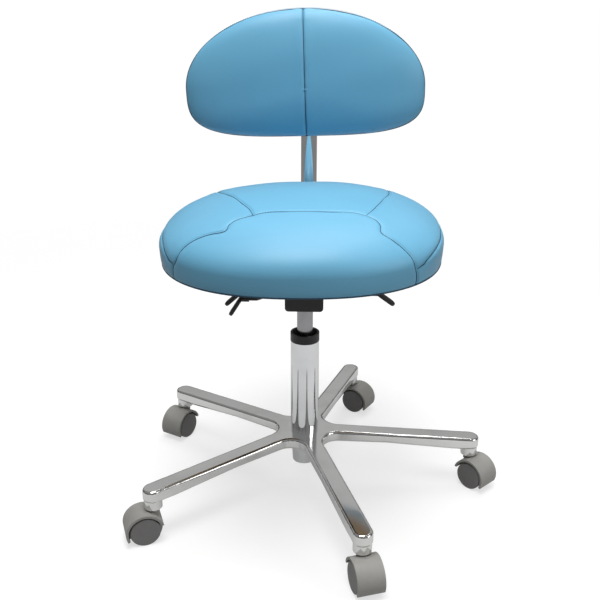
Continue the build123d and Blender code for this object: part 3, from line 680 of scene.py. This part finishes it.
def tube(
    name: str, path: np.ndarray, upward: np.ndarray, radius: float, sides: int, closed: bool
) -> bpy.types.Object:
    """Carry a circle along a path: centre + radius * (cos * across - sin * up) at each point.

    Args:
        name: the piece's name.
        path: points of the centreline.
        upward: a direction square-ish to the path at each point.
        radius: the tube's radius in metres.
        sides: points round the circle.
        closed: whether the path joins its own start.

    Returns:
        The object.
    """
    if closed:
        along = unit(np.roll(path, -1, axis=0) - np.roll(path, 1, axis=0))
    else:
        along = unit(np.gradient(path, axis=0))
    across = unit(np.cross(along, upward))
    up = np.cross(across, along)
    turn = np.arange(sides) / sides * TAU
    ring = np.cos(turn)[None, :, None] * across[:, None, :] - np.sin(turn)[None, :, None] * up[:, None, :]
    grid = path[:, None, :] + radius * ring
    if closed:
        faces = lattice_faces(len(path), sides, True)
        return new_piece(name, grid.reshape(-1, 3), faces.tolist())
    return capped_lattice(name, grid, path[0] - radius * along[0], path[-1] + radius * along[-1])


def stitches(
    name: str, path: np.ndarray, upward: np.ndarray, pitch: float, length: float, radius: float
) -> bpy.types.Object:
    """Lay short rounded stitches end to end along a path.

    Each stitch is a ring profile sin(angle) * radius carried from -length/2 to length/2, then placed by
    the path's own directions.

    Args:
        name: the piece's name.
        path: closely spaced points.
        upward: the surface's outward direction at each point.
        pitch: distance from one stitch to the next.
        length: length of one stitch.
        radius: its thickest radius.

    Returns:
        The object.
    """
    steps = np.linalg.norm(np.diff(path, axis=0), axis=1)
    travelled = np.concatenate([[0.0], np.cumsum(steps)])
    centres = np.arange(pitch, travelled[-1] - pitch, pitch)
    along_path = unit(np.gradient(path, axis=0))

    def sample(values: np.ndarray) -> np.ndarray:
        """Read a run of vectors at the stitches' centres."""
        return np.stack([np.interp(centres, travelled, values[:, k]) for k in range(3)], axis=-1)

    centre, along, up = sample(path), unit(sample(along_path)), unit(sample(upward))
    across = unit(np.cross(along, up))
    up = np.cross(across, along)
    rings, sides = 5, 6
    sweep = np.linspace(0.0, math.pi, rings + 2)[1:-1]
    turn = np.arange(sides) / sides * TAU
    lengthwise = -np.cos(sweep)[:, None] * np.ones(sides) * length / 2
    sideways = np.sin(sweep)[:, None] * np.cos(turn) * radius
    standing = -np.sin(sweep)[:, None] * np.sin(turn) * radius
    shape = np.stack([lengthwise, sideways, standing], axis=-1).reshape(-1, 3)
    shape = np.vstack([shape, [[-length / 2, 0, 0], [length / 2, 0, 0]]])
    axes = np.stack([along, across, up], axis=1)
    points = centre[:, None, :] + np.einsum("vk,skc->svc", shape, axes)
    quads = lattice_faces(rings, sides, False)
    column = np.arange(sides)
    beside = (column + 1) % sides
    start_fan = np.stack([np.full(sides, rings * sides), beside, column], axis=-1)
    end_fan = np.stack(
        [np.full(sides, rings * sides + 1), (rings - 1) * sides + column, (rings - 1) * sides + beside],
        axis=-1,
    )
    offset = np.arange(len(centres))[:, None, None] * len(shape)
    all_quads = (quads[None] + offset).reshape(-1, 4).tolist()
    all_fans = (np.vstack([start_fan, end_fan])[None] + offset).reshape(-1, 3).tolist()
    return new_piece(name, points.reshape(-1, 3), all_quads + all_fans)


def smooth_route(points: np.ndarray, spacing: float) -> np.ndarray:
    """Run a Catmull-Rom curve through a few points and space it evenly.

    Args:
        points: control points in any dimension.
        spacing: rough number of samples per unit of length.

    Returns:
        The sampled curve.
    """
    padded = np.vstack([2 * points[0] - points[1], points, 2 * points[-1] - points[-2]])
    step = np.linspace(0.0, 1.0, 40, endpoint=False)[:, None]
    runs = []
    for before, start, end, after in zip(padded, padded[1:], padded[2:], padded[3:]):
        runs.append(
            0.5
            * (
                2 * start
                + (end - before) * step
                + (2 * before - 5 * start + 4 * end - after) * step**2
                + (3 * start - before - 3 * end + after) * step**3
            )
        )
    curve = np.vstack([*runs, points[-1:]])
    travelled = np.concatenate([[0.0], np.cumsum(np.linalg.norm(np.diff(curve, axis=0), axis=1))])
    count = max(8, int(travelled[-1] * spacing))
    even = np.linspace(0.0, travelled[-1], count)
    return np.stack([np.interp(even, travelled, curve[:, k]) for k in range(curve.shape[1])], axis=-1)


# ---------------------------------------------------------------- upholstery


@dataclass
class SewnDome:
    """A stuffed form over a flat plane: rings from the crown's middle out to the rim, and a rolled under edge.

    A point is given by its bearing round the form and its reach: 0 at the middle, 1 at the widest line
    and 2 at the under edge. Over the top, distance = sin(phi) ** (2 / power) and
    height = cos(phi) ** (2 / fullness) with phi = pi / 2 * reach ** (power / 2), which gives a flat crown
    with a round shoulder. settle raises the right-hand side by that angle, most at the top of the form.
    """

    centre: np.ndarray
    right: np.ndarray
    upright: np.ndarray
    outward: np.ndarray
    half_width: float
    half_high: float
    half_low: float
    square_high: float
    square_low: float
    crown: float
    skirt: float
    tuck: float
    power: float
    power_low: float
    fullness: float = 2.0
    lean: float = 0.0
    settle: float = 0.0

    def outline(self, bearing: np.ndarray) -> np.ndarray:
        """Distance from the middle to the widest line: (|cos/a|^n + |sin/b|^n) ^ (-1/n).

        Args:
            bearing: angle round the form, from its right-hand side.

        Returns:
            The distance for each bearing.
        """
        cosine, sine = np.abs(np.cos(bearing)), np.abs(np.sin(bearing))
        above = np.sin(bearing) >= 0
        half = np.where(above, self.half_high, self.half_low)
        square = np.where(above, self.square_high, self.square_low)
        return ((cosine / self.half_width) ** square + (sine / half) ** square) ** (-1.0 / square)

    def place(self, bearing: np.ndarray, reach: np.ndarray) -> np.ndarray:
        """Surface points for bearings and reaches.

        Args:
            bearing: angle round the form.
            reach: 0 at the middle, 1 at the widest line, 2 at the under edge.

        Returns:
            Points in metres.
        """
        low = np.clip(-np.sin(bearing), 0.0, 1.0) ** 2
        power = self.power + (self.power_low - self.power) * low
        over = np.clip(reach, 0.0, 1.0)
        phi = math.pi / 2 * over ** (power / 2)
        distance = np.sin(phi) ** (2 / power)
        height = self.skirt + self.crown * np.clip(np.cos(phi), 0.0, 1.0) ** (2 / self.fullness)
        chi = math.pi / 2 * np.clip(reach - 1.0, 0.0, 1.0)
        edge = self.outline(bearing)
        radial = edge * distance - self.tuck * (1 - np.cos(chi))
        height = height - self.skirt * np.sin(chi)
        turned = bearing + self.lean
        rise = height / (self.skirt + self.crown)
        height = height + radial * np.cos(turned) * math.tan(self.settle) * (0.4 + 0.6 * rise)
        flat = radial[..., None] * (
            np.cos(turned)[..., None] * self.right + np.sin(turned)[..., None] * self.upright
        )
        return self.centre + flat + height[..., None] * self.outward

    def normal(self, bearing: np.ndarray, reach: np.ndarray) -> np.ndarray:
        """Outward direction of the surface, from small steps along bearing and reach.

        Args:
            bearing: angle round the form.
            reach: reach of the point.

        Returns:
            Unit vectors.
        """
        step = 1e-3
        safe = np.clip(reach, 0.02, 1.98)
        round_way = self.place(bearing + step, safe) - self.place(bearing - step, safe)
        out_way = self.place(bearing, safe + step) - self.place(bearing, safe - step)
        return unit(np.cross(out_way, round_way))


@dataclass
class SeamRoute:
    """A seam drawn on a SewnDome through a few (degrees, reach) points."""

    points: tuple[tuple[float, float], ...]
    rows: tuple[float, ...] = (3.4 * MM,)

    def trace(self, dome: SewnDome) -> tuple[np.ndarray, np.ndarray, np.ndarray, np.ndarray]:
        """Follow the seam over the dome.

        Args:
            dome: the form it lies on.

        Returns:
            Bearings, reaches, points and outward directions along the seam.
        """
        marks = np.array(self.points, float)
        bearing, reach = np.radians(marks[:, 0]), marks[:, 1]
        flat = np.stack([reach * np.cos(bearing), reach * np.sin(bearing)], axis=-1)
        route = smooth_route(flat, 260.0)
        bearing = np.arctan2(route[:, 1], route[:, 0])
        reach = np.hypot(route[:, 0], route[:, 1])
        return bearing, reach, dome.place(bearing, reach), dome.normal(bearing, reach)


POINTS_AT_ONCE = 4000
PUCKER_SEED = 7
PUCKER_WAVES = ((1.0, 0.115), (0.7, 0.19), (0.5, 0.31))
PUCKER_HEIGHT, PUCKER_REACH = 0.10 * MM, 10 * MM
GROOVE_DEPTH, GROOVE_WIDTH = 1.5 * MM, 2.2 * MM
PUFF_HEIGHT, PUFF_GAP, PUFF_SPREAD = 0.5 * MM, 10 * MM, 8 * MM
SLACK_HEIGHT = 0.22 * MM
SLACK_ACROSS = (61, 37, 0.4)
SLACK_UPWARD = (73, 29, 1.7)
HEM_FADE = 2.5
FLOOR_ROWS = 12
SEAM_SIDES = 8
PIPE_SIDES = 10


def seam_relief(points: np.ndarray, seam: np.ndarray, pucker_seed: int) -> np.ndarray:
    """How far cloth is pulled in or puffs up beside seams.

    Relief = -depth * exp(-(d / width)^2) + puff * exp(-((d - gap) / spread)^2) plus ripples that run
    out of the seam and die away, where d is the distance to the nearest seam point.

    Args:
        points: surface points.
        seam: all seam points, closely spaced.
        pucker_seed: seed of the ripples' phases.

    Returns:
        One offset in metres per point.
    """
    nearest = np.empty(len(points))
    which = np.empty(len(points), int)
    chunk = POINTS_AT_ONCE
    squared = (seam**2).sum(1)
    for start in range(0, len(points), chunk):
        part = points[start : start + chunk]
        gaps = squared[None, :] - 2.0 * part @ seam.T
        which[start : start + chunk] = gaps.argmin(1)
        nearest[start : start + chunk] = np.linalg.norm(part - seam[which[start : start + chunk]], axis=1)
    generator = np.random.default_rng(pucker_seed)
    phase = generator.uniform(0, TAU, len(PUCKER_WAVES))
    run = which * 1.0
    ripple = sum(share * np.sin(run * wave + start) for (share, wave), start in zip(PUCKER_WAVES, phase))
    groove = -GROOVE_DEPTH * np.exp(-((nearest / GROOVE_WIDTH) ** 2))
    puff = PUFF_HEIGHT * np.exp(-(((nearest - PUFF_GAP) / PUFF_SPREAD) ** 2))
    pucker = PUCKER_HEIGHT * ripple * np.exp(-((nearest / PUCKER_REACH) ** 2))
    return groove + puff + pucker


@dataclass
class Upholstery:
    """A padded form with its seams, stitches and piping."""

    title: str
    body: str
    dome: SewnDome
    seams: tuple[SeamRoute, ...]
    replaced: tuple[str, ...]
    columns: int = 640
    crown_rows: int = 104
    skirt_rows: int = 16
    seam_radius: float = 0.60 * MM
    seam_sink: float = 0.95 * MM
    stitch_pitch: float = 4.2 * MM
    stitch_length: float = 3.1 * MM
    stitch_radius: float = 0.42 * MM
    stitch_lift: float = 0.0
    pieces: list = field(default_factory=list)

    def cover(self) -> bpy.types.Object:
        """Make the cover: the dome's grid, drawn in at the seams and closed underneath.

        Returns:
            The cover.
        """
        bearing = np.arange(self.columns) / self.columns * TAU
        over = np.arange(1, self.crown_rows + 1) / self.crown_rows
        under = 1.0 + np.arange(1, self.skirt_rows + 1) / self.skirt_rows
        reach = np.concatenate([over, under])
        turn, rise = np.meshgrid(bearing, reach)
        grid = self.dome.place(turn, rise)
        facing = self.dome.normal(turn, rise)
        seam_points = np.vstack([seam.trace(self.dome)[2] for seam in self.seams])
        relief = seam_relief(grid.reshape(-1, 3), seam_points, PUCKER_SEED).reshape(rise.shape)
        x, y, z = np.moveaxis(grid, -1, 0)
        across = np.sin(x * SLACK_ACROSS[0] + y * SLACK_ACROSS[1] + SLACK_ACROSS[2])
        upward = np.sin(z * SLACK_UPWARD[0] - x * SLACK_UPWARD[1] + SLACK_UPWARD[2])
        slack = SLACK_HEIGHT * (across + upward)
        fade = np.clip((2.0 - rise) * HEM_FADE, 0.0, 1.0)
        grid = grid + facing * ((relief + slack) * fade)[..., None]
        base = grid[-1]
        middle = base.mean(0)
        floor_rows = np.linspace(1.0, 0.0, FLOOR_ROWS, endpoint=False)[1:]
        floor = middle + (base - middle)[None] * floor_rows[:, None, None]
        grid = np.concatenate([grid, floor])
        top = self.dome.place(np.zeros(1), np.zeros(1))[0]
        piece = capped_lattice(f"{self.title}_cover", grid[:, ::-1], top, middle)
        return piece

    def build(self, workshop: Workshop) -> None:
        """Make and dress every piece.

        Args:
            workshop: where the materials come from.
        """
        cover = self.cover()
        workshop.dress(cover, Finish.UPHOLSTERY)
        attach(cover, self.body)
        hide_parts(*self.replaced)
        self.pieces.append(cover)
        for number, seam in enumerate(self.seams, 1):
            self.sew(workshop, seam, number)
        log.info("%s: %d pieces", self.title, len(self.pieces))

    def sew(self, workshop: Workshop, seam: SeamRoute, number: int) -> None:
        """Lay a near-black tube in one seam's groove as painted shade, and the row of top stitches beside it.

        Args:
            workshop: where the materials come from.
            seam: the seam.
            number: its number in the names.
        """
        _, _, points, facing = seam.trace(self.dome)
        sunk = points - facing * self.seam_sink
        # The sunk tube is coloured near-black blue: painted shade along the seam groove.
        groove_shade = tube(f"{self.title}_seam_{number}", sunk, facing, self.seam_radius, SEAM_SIDES, False)
        workshop.dress(groove_shade, Finish.SEAM)
        made = [groove_shade]
        across = unit(np.cross(unit(np.gradient(points, axis=0)), facing))
        for mark, aside in enumerate(seam.rows, 1):
            beside = points + across * aside + facing * self.stitch_lift
            name = f"{self.title}_stitches_{number}_{mark}"
            row = stitches(name, beside, facing, self.stitch_pitch, self.stitch_length, self.stitch_radius)
            workshop.dress(row, Finish.THREAD)
            made.append(row)
        for piece in made:
            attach(piece, self.body)
            self.pieces.append(piece)

    def pipe(self, workshop: Workshop, reach: float, radius: float, name: str) -> None:
        """Run a piping cord round the form at one reach; its near-black colour is painted shade along the edge
        seam.

        Args:
            workshop: where the materials come from.
            reach: where on the form the cord lies.
            radius: the cord's radius.
            name: the piece's name.
        """
        bearing = np.arange(self.columns) / self.columns * TAU
        spot = np.full(self.columns, reach)
        path = self.dome.place(bearing, spot)
        facing = self.dome.normal(bearing, spot)
        cord = tube(name, path, facing, radius, PIPE_SIDES, True)
        # Near-black piping colour: painted shade along the edge seam.
        workshop.dress(cord, Finish.PIPING)
        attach(cord, self.body)
        self.pieces.append(cord)


# ---------------------------------------------------------------- sub-assemblies


@dataclass
class Seat:
    """The round seat pad: a centre panel that runs down the front, two side panels, a back panel and a band."""

    skirt: float = 28 * MM
    tuck: float = 4 * MM
    settle: float = math.radians(1.2)
    aside: float = -4 * MM
    rise: float = 4 * MM
    pipe_radius: float = 1.6 * MM

    def dome(self) -> SewnDome:
        """Describe the pad from the box of its CAD cushion.

        Returns:
            The form.
        """
        low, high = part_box("seat_cushion")
        half_depth = (high.y - low.y) / 2
        return SewnDome(
            centre=np.array([(low.x + high.x) / 2 + self.aside, (low.y + high.y) / 2, low.z]),
            right=np.array([1.0, 0.0, 0.0]),
            upright=np.array([0.0, 1.0, 0.0]),
            outward=np.array([0.0, 0.0, 1.0]),
            half_width=(high.x - low.x) / 2,
            half_high=half_depth,
            half_low=half_depth,
            square_high=2.33,
            square_low=2.33,
            crown=(high.z - low.z) + self.rise - self.skirt,
            skirt=self.skirt,
            tuck=self.tuck,
            power=2.35,
            power_low=3.0,
            fullness=2.05,
            settle=self.settle,
        )

    def build(self, workshop: Workshop) -> None:
        """Make the seat's upholstery.

        Args:
            workshop: where the materials come from.
        """
        left_line = (
            (
                236, 0.40
            ), (231, 0.47), (231, 0.53), (233, 0.60), (227, 0.66), (223, 0.74), (221, 0.84), (220, 0.95),
            (218, 1.10), (217, 1.45), (217, 1.9),
        )
        right_line = (
            (
                314, 0.44
            ), (315, 0.50), (313, 0.56), (309, 0.63), (311, 0.72), (313, 0.82), (315, 0.94), (316, 1.10),
            (317, 1.45), (317, 1.9),
        )
        band_line = (
            (
                217, 1.04
            ), (210, 0.95), (200, 0.88), (182, 0.87), (165, 0.90), (148, 0.96), (125, 1.02), (90, 1.03),
            (58, 1.02), (38, 0.97), (20, 0.90), (2, 0.88), (
                343, 0.88
            ), (331, 0.92), (323, 0.97), (317, 1.06),
        )
        seams = (
            SeamRoute(left_line),
            SeamRoute(right_line, (-3.4 * MM,)),
            SeamRoute(
                ((236, 0.40), (243, 0.345), (262, 0.325), (279, 0.325), (296, 0.345), (309, 0.38), (314, 0.44))
            ),
            SeamRoute(
                ((236, 0.40), (222, 0.33), (195, 0.31), (172, 0.36), (152, 0.50), (138, 0.72), (131, 1.01))
            ),
            SeamRoute(
                ((314, 0.44), (334, 0.39), (358, 0.40), (20, 0.47), (38, 0.58), (48, 0.75), (55, 1.02))
            ),
            SeamRoute(band_line),
        )
        pad = Upholstery("seat", "seat", self.dome(), seams, ("seat_cushion",))
        pad.build(workshop)
        pad.pipe(workshop, 1.96, self.pipe_radius, "seat_piping")


@dataclass
class Backrest:
    """The bean-shaped back pad: a domed front cover, a shallow rear cover and near-black piping between them,
    whose dark colour is painted seam shade.
    """

    lean: float = math.radians(2.0)
    aside: float = -6 * MM
    front_skirt: float = 12 * MM
    rear_skirt: float = 5 * MM
    pipe_radius: float = 0.9 * MM
    stitch_gap: float = 7.5 * MM
    drop: float = 86.0
    height: float = 220.0
    front_power: float = 2.15
    rear_power: float = 4.5
    pipe_reach: float = 0.955
    panel_reach: float = 0.93
    panel_stitch_gap: float = 3.0 * MM

    def dome(self, outward: float, depth: float, skirt: float, power: float) -> SewnDome:
        """Describe one side of the pad from the box of its CAD cushion.

        Args:
            outward: -1 for the front cover and 1 for the rear one.
            depth: how far it stands out from the seam plane.
            skirt: the side wall's height.
            power: how flat its crown is.

        Returns:
            The form.
        """
        low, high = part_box("back_cushion")
        widest = low.z + (high.z - low.z) * self.drop / self.height
        return SewnDome(
            centre=np.array([(low.x + high.x) / 2 + self.aside, high.y, widest]),
            right=np.array([-outward, 0.0, 0.0]),
            upright=np.array([0.0, 0.0, 1.0]),
            outward=np.array([0.0, outward, 0.0]),
            half_width=(high.x - low.x) / 2,
            half_high=high.z - widest,
            half_low=widest - low.z,
            square_high=2.0,
            square_low=3.6,
            crown=depth - skirt,
            skirt=skirt,
            tuck=2.5 * MM,
            power=power,
            power_low=power,
            lean=-outward * self.lean,
        )

    def build(self, workshop: Workshop) -> None:
        """Make the back's upholstery.

        Args:
            workshop: where the materials come from.
        """
        low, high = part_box("back_cushion")
        front = self.dome(-1.0, high.y - low.y, self.front_skirt, self.front_power)
        line = ((90, 1.9), (90, 1.0), (90, 0.5), (270, 0.02), (270, 0.5), (270, 1.0), (270, 1.9))
        centre_seam = SeamRoute(line, (-self.stitch_gap, self.stitch_gap))
        pad = Upholstery("back", "backrest", front, (centre_seam,), ("back_cushion",))
        pad.build(workshop)
        pad.pipe(workshop, self.pipe_reach, self.pipe_radius, "back_piping")
        shell_low, shell_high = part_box("back_shell")
        rear = self.dome(1.0, shell_high.y - shell_low.y, self.rear_skirt, self.rear_power)
        edge = tuple((bearing, self.panel_reach) for bearing in range(-88, 273, 12))
        edge_line = SeamRoute(edge, (self.panel_stitch_gap,))
        cover = Upholstery("back_panel", "backrest", rear, (edge_line,), ("back_shell",))
        cover.build(workshop)


@dataclass
class Studio:
    """The plain pale floor, the soft light and the camera."""

    floor_size: float = 60.0
    floor_grey: float = 0.40
    floor_fade: tuple[float, float] = (0.7, 2.6)
    glow_near: float = 0.64
    glow_gain: float = 0.36
    glow_in_mirrors: float = 0.2
    band_edges: tuple[float, float] = (0.44, 0.53)
    band_levels: tuple[float, float] = (0.05, 0.85)
    overhead: tuple[float, float] = (0.18, 0.6)
    wall_behind: tuple[float, float] = (0.35, 0.75)
    wall_above: tuple[float, float] = (0.22, 0.34)
    wall_level: float = 0.22
    room_level: float = 0.23
    camera_place: tuple[float, float, float] = (0.0362, -1.375, 0.885)
    camera_pitch: float = 20.9
    camera_roll: float = 0.8
    sensor_width: float = 36.0
    focal_length: float = 51.0
    sideways_shift: float = -0.0433
    clip_range: tuple[float, float] = (0.05, 60.0)

    def floor(self) -> None:
        """Lay a large pale floor: seen straight it is near white, in reflections it is a plain grey."""
        size = self.floor_size
        corners = np.array([[-size, -size, 0], [size, -size, 0], [size, size, 0], [-size, size, 0]], float)
        floor = new_piece("studio_floor", corners, [[0, 1, 2, 3]], smooth=False)
        material, sketch, shader, where = start_material("studio_floor")
        away = sketch.add("ShaderNodeVectorMath", {0: where}, operation="LENGTH")
        far = sketch.ramp(away.outputs["Value"], *self.floor_fade, 0, 1)
        tone = sketch.blend(far, (self.floor_grey,) * 3 + (1,), (0.0, 0.0, 0.0, 1))
        sketch.tree.links.new(tone, shader.inputs["Base Color"])
        shader.inputs["Roughness"].default_value = 0.9
        shader.inputs["Emission Color"].default_value = (1.0, 1.0, 1.0, 1)
        path = sketch.add("ShaderNodeLightPath")
        glow = sketch.math("ADD", sketch.math("MULTIPLY", far, self.glow_gain), self.glow_near)
        seen = sketch.math("MULTIPLY", path.outputs["Is Camera Ray"], glow)
        mirrored = sketch.math("MULTIPLY", path.outputs["Is Glossy Ray"], self.glow_in_mirrors)
        sketch.tree.links.new(sketch.math("ADD", seen, mirrored), shader.inputs["Emission Strength"])
        floor.data.materials.append(material)

    def lamp(self, name: str, place: tuple, target: tuple, size: float, power: float) -> None:
        """Hang one soft square lamp.

        Args:
            name: its name.
            place: where it hangs.
            target: what it points at.
            size: its side.
            power: its power in watts.
        """
        data = bpy.data.lights.new(name, "AREA")
        data.shape, data.size, data.energy = "SQUARE", size, power
        lamp = bpy.data.objects.new(name, data)
        bpy.context.scene.collection.objects.link(lamp)
        lamp.location = place
        lamp.rotation_euler = (Vector(target) - Vector(place)).to_track_quat("-Z", "Y").to_euler()

    def light(self) -> None:
        """Hang the lamps."""
        self.lamp("key", (-0.15, -0.65, 3.1), (0, 0.0, 0.5), 1.4, 68)
        self.lamp("top", (0.3, 1.0, 3.0), (0, 0, 0.45), 1.4, 24)
        self.lamp("side", (2.3, -1.1, 1.3), (0, 0, 0.5), 1.2, 14)

    def surroundings(self) -> None:
        """Set the world: bright overhead, grey round the horizon with upright dark bands between the flats."""
        world = bpy.data.worlds.new("studio")
        bpy.context.scene.world = world
        world.use_nodes = True
        world.node_tree.nodes.clear()
        sketch = NodeSketch(world.node_tree)
        leave = sketch.add("ShaderNodeOutputWorld")
        backdrop = sketch.add("ShaderNodeBackground", {"Color": (1.0, 1.0, 1.0, 1.0)})
        sketch.tree.links.new(backdrop.outputs[0], leave.inputs["Surface"])
        way = sketch.add("ShaderNodeTexCoord").outputs["Generated"]
        axes = sketch.add("ShaderNodeSeparateXYZ", {0: way})
        bearing = sketch.math("ARCTAN2", axes.outputs["Y"], axes.outputs["X"])
        round_way = sketch.add("ShaderNodeCombineXYZ", {0: bearing})
        noise = {"Vector": round_way.outputs[0], "Scale": 2.3, "Detail": 2.0, "Roughness": 0.6}
        bands = sketch.add("ShaderNodeTexNoise", noise)
        band = sketch.ramp(bands.outputs[0], *self.band_edges, *self.band_levels)
        height = sketch.ramp(axes.outputs["Z"], *self.overhead, 0.0, 1.0)
        level = sketch.math(
            "ADD", sketch.math("MULTIPLY", band, sketch.math("SUBTRACT", 1.0, height)), height
        )
        behind = sketch.ramp(axes.outputs["Y"], *self.wall_behind, 0.0, 1.0)
        above = sketch.ramp(axes.outputs["Z"], *self.wall_above, 0.0, 1.0)
        wall = sketch.math("MULTIPLY", sketch.math("MULTIPLY", behind, above), self.wall_level)
        dim = sketch.math("ADD", sketch.math("MULTIPLY", level, self.room_level), wall)
        seen = sketch.add("ShaderNodeLightPath").outputs["Is Camera Ray"]
        strength = sketch.math("MAXIMUM", dim, seen)
        sketch.tree.links.new(strength, backdrop.inputs["Strength"])

    def camera(self) -> None:
        """Stand the camera in front of the stool, a little to its right and looking down."""
        pitch, roll = math.radians(self.camera_pitch), math.radians(self.camera_roll)
        ahead = Vector((0, math.cos(pitch), -math.sin(pitch)))
        level = Vector((1, 0, 0))
        above = Vector((0, math.sin(pitch), math.cos(pitch)))
        right = level * math.cos(roll) + above * math.sin(roll)
        up = above * math.cos(roll) - level * math.sin(roll)
        data = bpy.data.cameras.new("camera")
        data.sensor_width, data.lens = self.sensor_width, self.focal_length
        data.shift_x = self.sideways_shift
        data.clip_start, data.clip_end = self.clip_range
        camera = bpy.data.objects.new("camera", data)
        x, y, z = self.camera_place
        camera.matrix_world = Matrix(
            (
                (right.x, up.x, -ahead.x, x),
                (right.y, up.y, -ahead.y, y),
                (right.z, up.z, -ahead.z, z),
                (0, 0, 0, 1),
            )
        )
        bpy.context.scene.collection.objects.link(camera)
        bpy.context.scene.camera = camera
        bpy.context.scene.view_settings.view_transform = "Standard"

    def build(self) -> None:
        """Set up the whole studio."""
        self.floor()
        self.light()
        self.surroundings()
        self.camera()


def main() -> None:
    """Build the stool's looks round its frame."""
    logging.basicConfig(level=logging.INFO, format="%(name)s: %(message)s")
    workshop = Workshop()
    workshop.dress_frame()
    for part in (Seat(), Backrest()):
        part.build(workshop)
        log.info("built %s", type(part).__name__)
    Studio().build()


if __name__ == "__main__":
    main()
